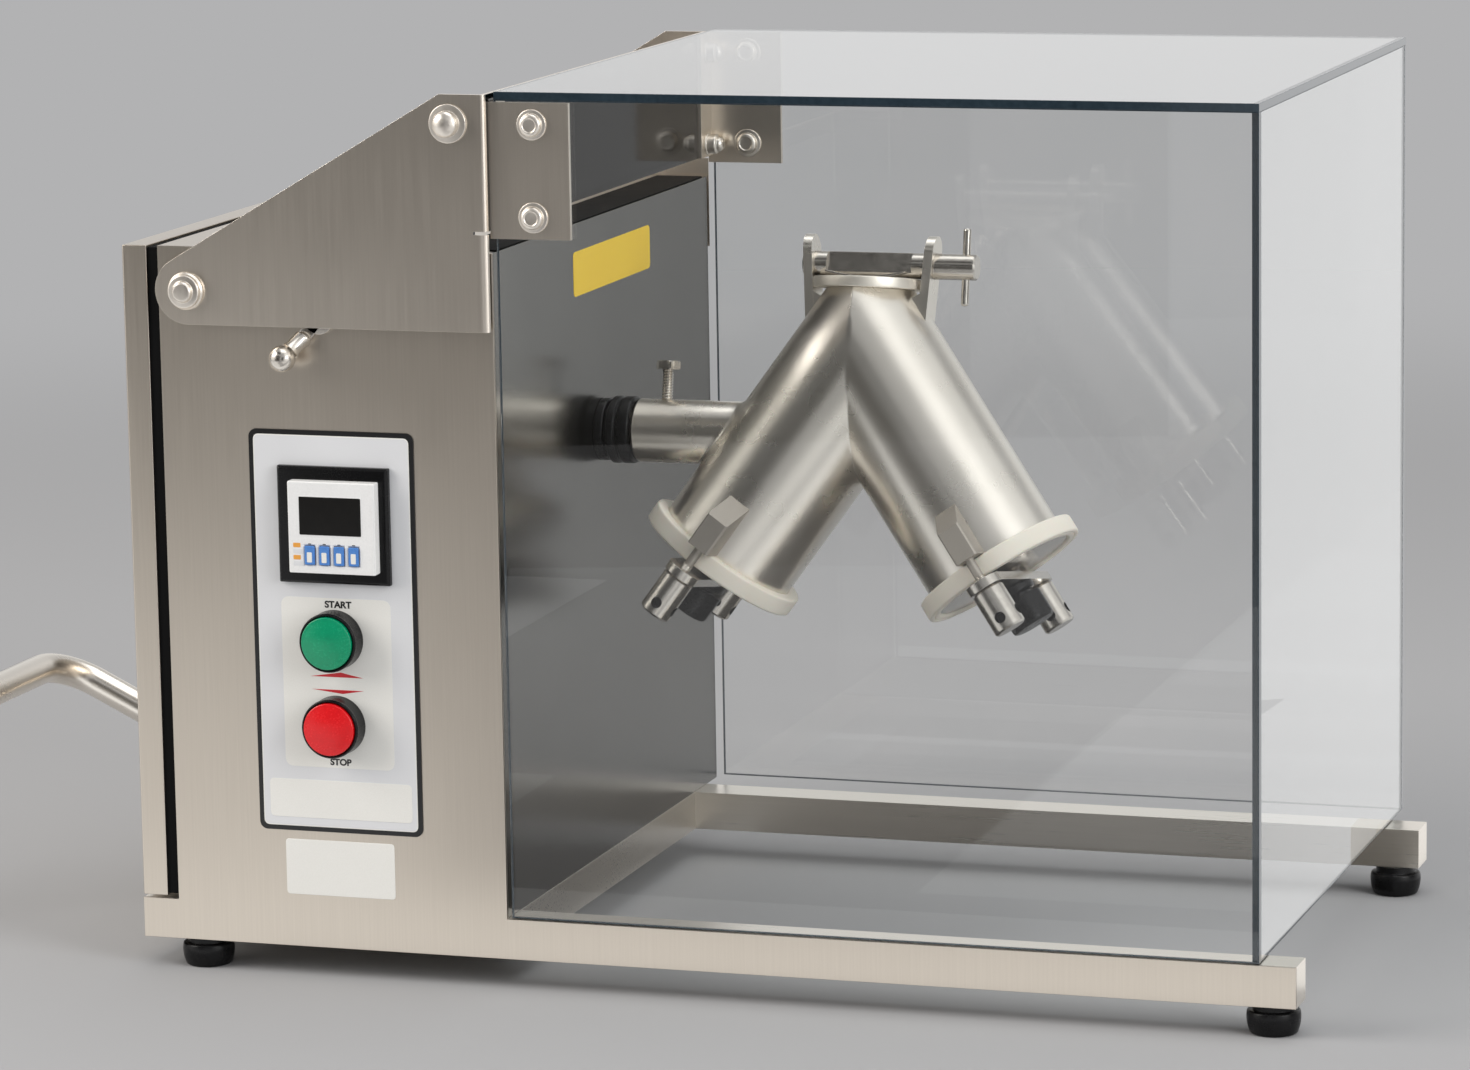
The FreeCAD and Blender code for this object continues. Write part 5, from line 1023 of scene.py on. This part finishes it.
def nutPatches(place, foot):
    # A cylinder's grid, holed four times. Near a hole a vertex keeps its direction from the hole's middle,
    # and its distance goes from the hole's radius, on the square ring of gap cells, to its own at reach.
    columns, gap, reach, radius = nut["columns"], nut["gap"], nut["reach"], nut["radius"]
    cell = 2 * math.pi * radius / columns
    low = int((nut["holePlace"] - nut["edge"]) / cell)
    high = int((nut["length"] - nut["edge"] - nut["holePlace"]) / cell)
    step = np.arange(-low, high + 1)
    height = nut["holePlace"] + step * cell
    height[0], height[-1] = nut["edge"], nut["length"] - nut["edge"]
    column = np.arange(columns)
    quarter = columns // 4
    sideways = (column + quarter // 2) % quarter - quarter // 2
    du, dv = np.meshgrid(sideways * cell, height - nut["holePlace"])
    ring = np.maximum(np.abs(sideways)[None, :], np.abs(step)[:, None])
    far = np.hypot(du, dv)
    share = np.clip((ring - gap) / (reach - gap), 0, 1)
    edge = reach * far / np.maximum(ring, 1)
    wanted = np.where((ring >= gap) & (ring < reach), nut["holeRadius"] * (1 - share) + edge * share, far)
    scale = np.where(far > 0, wanted / np.maximum(far, 1e-9), 1)
    angle = (column * cell - sideways * cell + du * scale) / radius
    points = polar(radius, angle, nut["holePlace"] + dv * scale)
    row = np.arange(len(step) - 1)[:, None] * columns
    after = (column + 1) % columns
    quads = joined(row + column, row + after, row + columns + after, row + columns + column)
    kept = ~(ring.reshape(-1)[quads] <= gap).all(axis=-1)
    patches = [(carry(points + (0, 0, foot), place), quads[kept])]
    k = np.arange(-gap, gap)
    flat = np.full(2 * gap, gap)
    around = np.stack([np.concatenate([k, flat, -k, -flat]), np.concatenate([-flat, k, flat, -k])])
    for turn in range(4):
        rim = points[low + around[1], (around[0] + turn * quarter) % columns]
        way = np.array([math.cos(turn * math.pi / 2), math.sin(turn * math.pi / 2), 0])
        inner = rim - (rim @ way - (radius - nut["holeDepth"]))[:, None] * way
        middle = np.broadcast_to(inner.mean(axis=0), inner.shape)
        patches.append(patch(carry(np.stack([rim, inner, middle]) + (0, 0, foot), place)))
    turns = np.arange(columns) * 2 * math.pi / columns
    for end, lean in ((0, 1), (nut["length"], -1)):
        soft = nut["edge"]
        rings = np.array([(radius, end + lean * soft), (radius - soft, end), (radius / 2, end), (0, end)])
        patches.append(patch(carry(polar(rings[:, :1], turns, rings[:, 1:] + foot), place)))
    return patches


def paintHoleShade(piece, place, foot):  # faces inside the nut, clear of its skin and its ends, are the holes' walls, which get painted shade
    centres = np.zeros(len(piece.data.polygons) * 3)
    piece.data.polygons.foreach_get("center", centres)
    local = (centres.reshape(-1, 3) - place[:, 3]) @ place[:, :3] / mm - (0, 0, foot)
    skin, low, high = nut["skin"], nut["edge"] + nut["clear"], nut["length"] - nut["edge"] - nut["clear"]
    inside = np.hypot(local[:, 0], local[:, 1]) < nut["radius"] - skin
    between = (local[:, 2] > low) & (local[:, 2] < high)
    # the holes' walls take the near-black finish as painted shade
    piece.data.materials.append(boreShadeSteel)
    piece.data.polygons.foreach_set("material_index", (inside & between).astype(int))


def raised(rows, height):  # profile rows moved up the axis
    return [(radius, height + rise, *corner) for radius, rise, *corner in rows]


def addLegEnd(side):
    place = legFrame[side]
    fit, lip, narrow = legEnd["fit"], legEnd["lip"], legEnd["lipRadius"]
    bore, shellEnd = shell["radius"] + fit, shell["end"] + fit
    start, end, wide = legEnd["ringStart"], legEnd["ringEnd"], legEnd["ringRadius"]
    groove = [(wide - inset, end - depth, corner) for inset, depth, corner in legEnd["groove"]]
    flare, deep = legEnd["mouth"]
    profile = rounded([
        (bore, start, 0.6), (wide, start, 1.3), (wide, end, 1.3), *groove, (bore + flare, end, 0.4),
        (bore, end - deep, 0.4), (bore, lip), (narrow, lip, 0.4), (narrow, shellEnd, 0.4), (bore, shellEnd),
    ], 5)
    standFor(f"end_gasket_{side}", [turned(profile, place, 128, closed=True)], silicone)
    foot, face, rim = lip + legEnd["coverLift"], lip + legEnd["coverGauge"], bore - legEnd["coverFit"]
    cover = rounded([(0, foot), (rim, foot, 0.3), (rim, face, 0.8), *raised(legEnd["boss"], face)])
    standFor(f"end_cover_{side}", [turned(cover, place, 96)], turnedSteel)
    softCopy(f"stud_lugs_{side}", blastedSteel, 0.5, 3)
    screw = thread(*legEnd["studThread"], end, legEnd["barStart"])
    studs = [patch(carry(screw + (0, legEnd["stud"] * way, 0), place), capped=True) for way in (1, -1)]
    addPiece(f"studThreads{side.capitalize()}", studs, turnedSteel, "shell")
    softCopy(f"clamp_bar_{side}", turnedSteel, 0.6, 3)
    for way in ("rear", "front"):
        shift = place[:, 1] * legEnd["stud"] * mm * nutHand(side, way)
        seat = np.column_stack([place[:, :3], place[:, 3] + shift])
        piece = standFor(f"tommy_nut_{side}_{way}", nutPatches(seat, legEnd["nutStart"]), turnedSteel)
        paintHoleShade(piece, seat, legEnd["nutStart"])
    flange = rounded(raised(legEnd["knobFoot"], legEnd["knobStart"]))
    grip = rounded(raised(legEnd["knobGrip"], legEnd["knobStart"]), 7)
    knob = [turned(flange, place, 48), turned(grip, place, 96, hexagon(legEnd["knobCorners"]))]
    standFor(f"knob_{side}", knob, blackAbs, 45)


def nutHand(side, end):  # which way along the leg's own y axis that nut lies
    seat = np.array(jointByName[f"nut_{side}_{end}_turn"]["pos_m"]) - legFrame[side][:, 3]
    return np.sign(seat @ legFrame[side][:, 1])


for side in legFrame:
    addLegEnd(side)
print("leg ends made")


# Discharge port: ears, lid, leaf spring and cam shaft with its cross pin

cam = {
    "radius": 6.5, "left": 34.5, "right": 54.5, "rise": 86.0, "chamfers": (0.6, 0.8),
    "flatHalf": 22.0, "flatPlace": 3.6, "flatTurn": 68,  # the flat is cut this far from the axis
    "pin": 1.95, "pinPlace": 48.7, "pinHalf": 19.3, "pinRound": 1.4,
}
port = {"half": 26.2, "stretch": 9, "gauge": 5.2, "edge": 0.45, "splay": 4.0}


def addPort():
    ears = softCopy("port_ears", buffedTube, 0.8, 3)
    points = coordinates(ears.data) - shellFrame[:, 3]
    rise, out = points @ shellFrame[:, 2], points @ shellFrame[:, 0]
    # the ears splay: x moves outward by the height over the cam shaft times the tangent of the splay
    shift = np.sign(out) * (rise - cam["rise"] * mm) * math.tan(math.radians(port["splay"]))
    points = points + shift[:, None] * shellFrame[:, 0] + shellFrame[:, 3]
    ears.data.vertices.foreach_set("co", points.ravel())
    # the lid's outline: half circles of radius half round centres at the stretch, before and behind
    bow = np.linspace(0, math.pi, 48)
    curve = port["half"] * np.column_stack([np.cos(bow), np.sin(bow)]) + (0, port["stretch"])
    foot, top = shell["port"] + 0.02, shell["port"] + port["gauge"]
    lid = plate(np.concatenate([curve, -curve]), foot, top, port["edge"], shellFrame)
    standFor("lid", [lid], linishedSteel, 34)
    softCopy("leaf_spring", turnedSteel, 0.15)
    addCamShaft()
    for side, hand in (("left", -1), ("right", 1)):
        addEarFoot(side, hand)


def addCamShaft():
    left, right, radius, flat, rise = (cam[name] for name in ("left", "right", "radius", "flatHalf", "rise"))
    near, far = cam["chamfers"]
    stations = np.array([-left, -left + near, -flat, 0.1 - flat, 2 - flat, flat - 2, flat - 0.1, flat,
                         right - far, right])
    radii = np.full(len(stations), radius)
    radii[0], radii[-1] = radius - near, radius - far
    angle = fullTurn(96)
    local = joined(stations[:, None], radii[:, None] * np.sin(angle), radii[:, None] * np.cos(angle))
    # between the flat's ends the section is cut on the side that the flat faces
    turn = math.radians(cam["flatTurn"])
    toward = np.array([0, -math.sin(turn), math.cos(turn)])
    inFlat = (np.abs(stations) < flat - 0.05)[:, None]
    over = np.maximum(local @ toward - cam["flatPlace"], 0) * inFlat
    local = local - over[..., None] * toward + (0, 0, rise)
    reach, thin, soft = cam["pinHalf"], cam["pin"], cam["pinRound"]
    profile = rounded([(0, -reach), (thin, -reach, soft), (thin, reach, soft), (0, reach)])
    pin = turned(profile, makeFrame(carry((cam["pinPlace"], 0, rise), shellFrame), shellUp), 40)
    standFor("cam_shaft", [patch(carry(local, shellFrame), capped=True), pin], turnedSteel, 30)


earFoot = {"inner": 22.9, "outer": 28.8, "half": 8.3, "top": 72.2, "fall": 2.2, "sunk": 0.3, "least": 0.05}


def addEarFoot(side, hand):
    # a fillet of weld metal between ear and leg; its underside is z = apex + (sqrt(R^2 - y^2) - x cos) / sin
    inner, outer, half, fall = (earFoot[name] for name in ("inner", "outer", "half", "fall"))
    x = np.linspace(outer, inner, 14)
    y = np.linspace(-half, half, 15)[:, None]
    under = shell["apex"] + (np.sqrt(shell["radius"] ** 2 - y ** 2) - x * cosHalf) / sinHalf - earFoot["sunk"]
    sag = fall * np.sin(np.pi * (x - inner) / (outer - inner) / 2) ** 2
    top = np.maximum(earFoot["top"] - fall + sag, under + earFoot["least"])
    upper, lower = (joined(x * hand, y, z) for z in (top, under))
    section = patch(carry(np.concatenate([upper, lower[:, ::-1]], axis=1), shellFrame), capped=True)
    addPiece(f"earFoot{side.capitalize()}", [section], buffedTube, "shell", crease=40)


addPort()
print("discharge port made")


# Guard: folded yoke, brackets, bolts, tie rod and clear panes

yoke = {"bend": 4.5, "edge": 0.7}


def atFold(x, y):  # the outer corners where the arms turn into the cross panel
    low, high = nodeBox("guard_yoke")
    return x > high[0] - 0.1 and (y < low[1] + 0.1 or y > high[1] - 0.1)


softCopy("guard_yoke", guardSheetPaintedLight, yoke["edge"], 3, other=(mirrorPanelPaintedDark, towardRight),
         bend=(atFold, yoke["bend"]))
softCopy("guard_brackets", guardSheetPaintedLight, 0.5, 3)

# outlines are rows of radius, height and corner
bolts = {
    "pivot": [(0, -14), (5, -14, 0.4), (5, 0), (9, 0, 0.3), (9, 2.8, 0.3), (6, 2.8), (6, 5.7, 0.3),
              (8.9, 5.7, 0.4), (9.3, 7.0, 0.4), (8.3, 8.1, 0.3), (8.1, 10.2, 0.9), (5.4, 10.3, 0.3),
              (5.0, 12.2, 0.9), (4.2, 12.9, 0.6), (0, 13.1)],
    "screw": [(0, -10.6), (4.9, -10.6, 1.2), (5.2, -6.42), (2.5, -6.42), (2.5, 0), (7.4, 0, 0.3),
              (7.4, 1.0, 0.5), (5.6, 1.1, 0.2), (5.4, 3.6, 1.0), (3.6, 4.3, 0.3), (3.2, 3.7, 0.3), (0, 3.7)],
    "dome": [(0, -4.5), (2.5, -4.5), (2.5, 0), (5.9, 0, 0.3), (5.9, 1.0, 0.5), (5.1, 1.1, 0.2),
             (5.2, 5.4, 0.6), (3.9, 6.1, 0.3), (3.9, 7.2, 0.6), (2.6, 9.1, 1.4), (0, 9.4)],
    # the tie rod's end: heights over the cabinet's side, then back from the rod's tip
    "tieSide": [(5, 3, 0), (4, 3, 0), (4, 5.5, 0), (9.4, 5.5, 0.3), (9.4, 7.1, 0.5), (6.3, 7.3, 0.2),
                (6.3, 11.5, 1.6)],
    "tieTip": [(3.2, 0.7, 0.9), (0, 0, 0)],
    "screwInset": 18.5, "rowInset": 10.5, "boss": 2.4, "domeInset": 2.0, "domeDepths": (10.8, -10.0),
}


def addGuardBolts():
    centre = jointPlace("guard_lift")
    depth = nodeBox("cabinet_shell")[1][1]
    ends = [at(centre[0], 0, centre[2], towardFront), at(centre[0], depth, centre[2], towardBack)]
    head = rounded(bolts["pivot"], 5)
    standFor("pivot_bolts", [turned(head, place) for place in ends], satinSteel)

    low, high = nodeBox("tie_rod")
    reach = (high[1] - low[1]) / 2
    side = [(radius, depth / 2 + rise, corner) for radius, rise, corner in bolts["tieSide"]]
    side += [(radius, reach - back, corner) for radius, back, corner in bolts["tieTip"]]
    rod = rounded([(radius, -height, corner) for radius, height, corner in reversed(side)] + side, 5)
    standFor("tie_rod", [turned(rod, at(*middleOf("tie_rod"), towardBack))], satinSteel)

    low, high = nodeBox("guard_brackets")
    front, rear = (nodeBox(node)[0][1] for node in ("pane_front", "pane_rear"))
    rises = (low[2] + bolts["rowInset"], high[2] - bolts["rowInset"])
    screw, dome = rounded(bolts["screw"], 5), rounded(bolts["dome"], 5)
    x = high[0] - bolts["screwInset"]
    screws = [turned(screw, at(x, seat - bolts["boss"], rise, towardFront), 64)
              for seat in (front, rear) for rise in rises]
    x = low[0] + bolts["domeInset"]
    screws += [turned(dome, at(x, seat + shift, rise, towardRight, towardFront), 56)
               for seat, shift in zip((front, rear), bolts["domeDepths"]) for rise in rises]
    standFor("guard_bolts", screws, satinSteel, 34)


addGuardBolts()

# thin is the axis across each pane
panes = {"edge": 0.35, "thin": {"pane_front": 1, "pane_rear": 1, "pane_right": 0, "pane_top": 2}}


def addPane(node, thin):
    # a box whose two large faces are clear and whose narrow faces carry the painted dark edge
    low, high = nodeBox(node)
    mesh = bpy.data.meshes.new(node)
    work = bmesh.new()
    bmesh.ops.create_cube(work, size=1.0)
    size, centre = high - low, (high + low) / 2
    for vertex in work.verts:
        vertex.co = Vector(carry(np.array(vertex.co) * size + centre, base))
    work.normal_update()
    for face in work.faces:
        face.material_index = 0 if abs(face.normal[thin]) > 0.5 else 1
    work.to_mesh(mesh)
    work.free()
    looks = [clearSheet, edgeShadeSheet]
    piece = finishObject(mesh, labelOf(node), looks, bodyOf[node], (node,), 20)
    bevelled(piece, panes["edge"]).modifiers[-1].material = 1


for node, thin in panes["thin"].items():
    addPane(node, thin)
print("guard made")
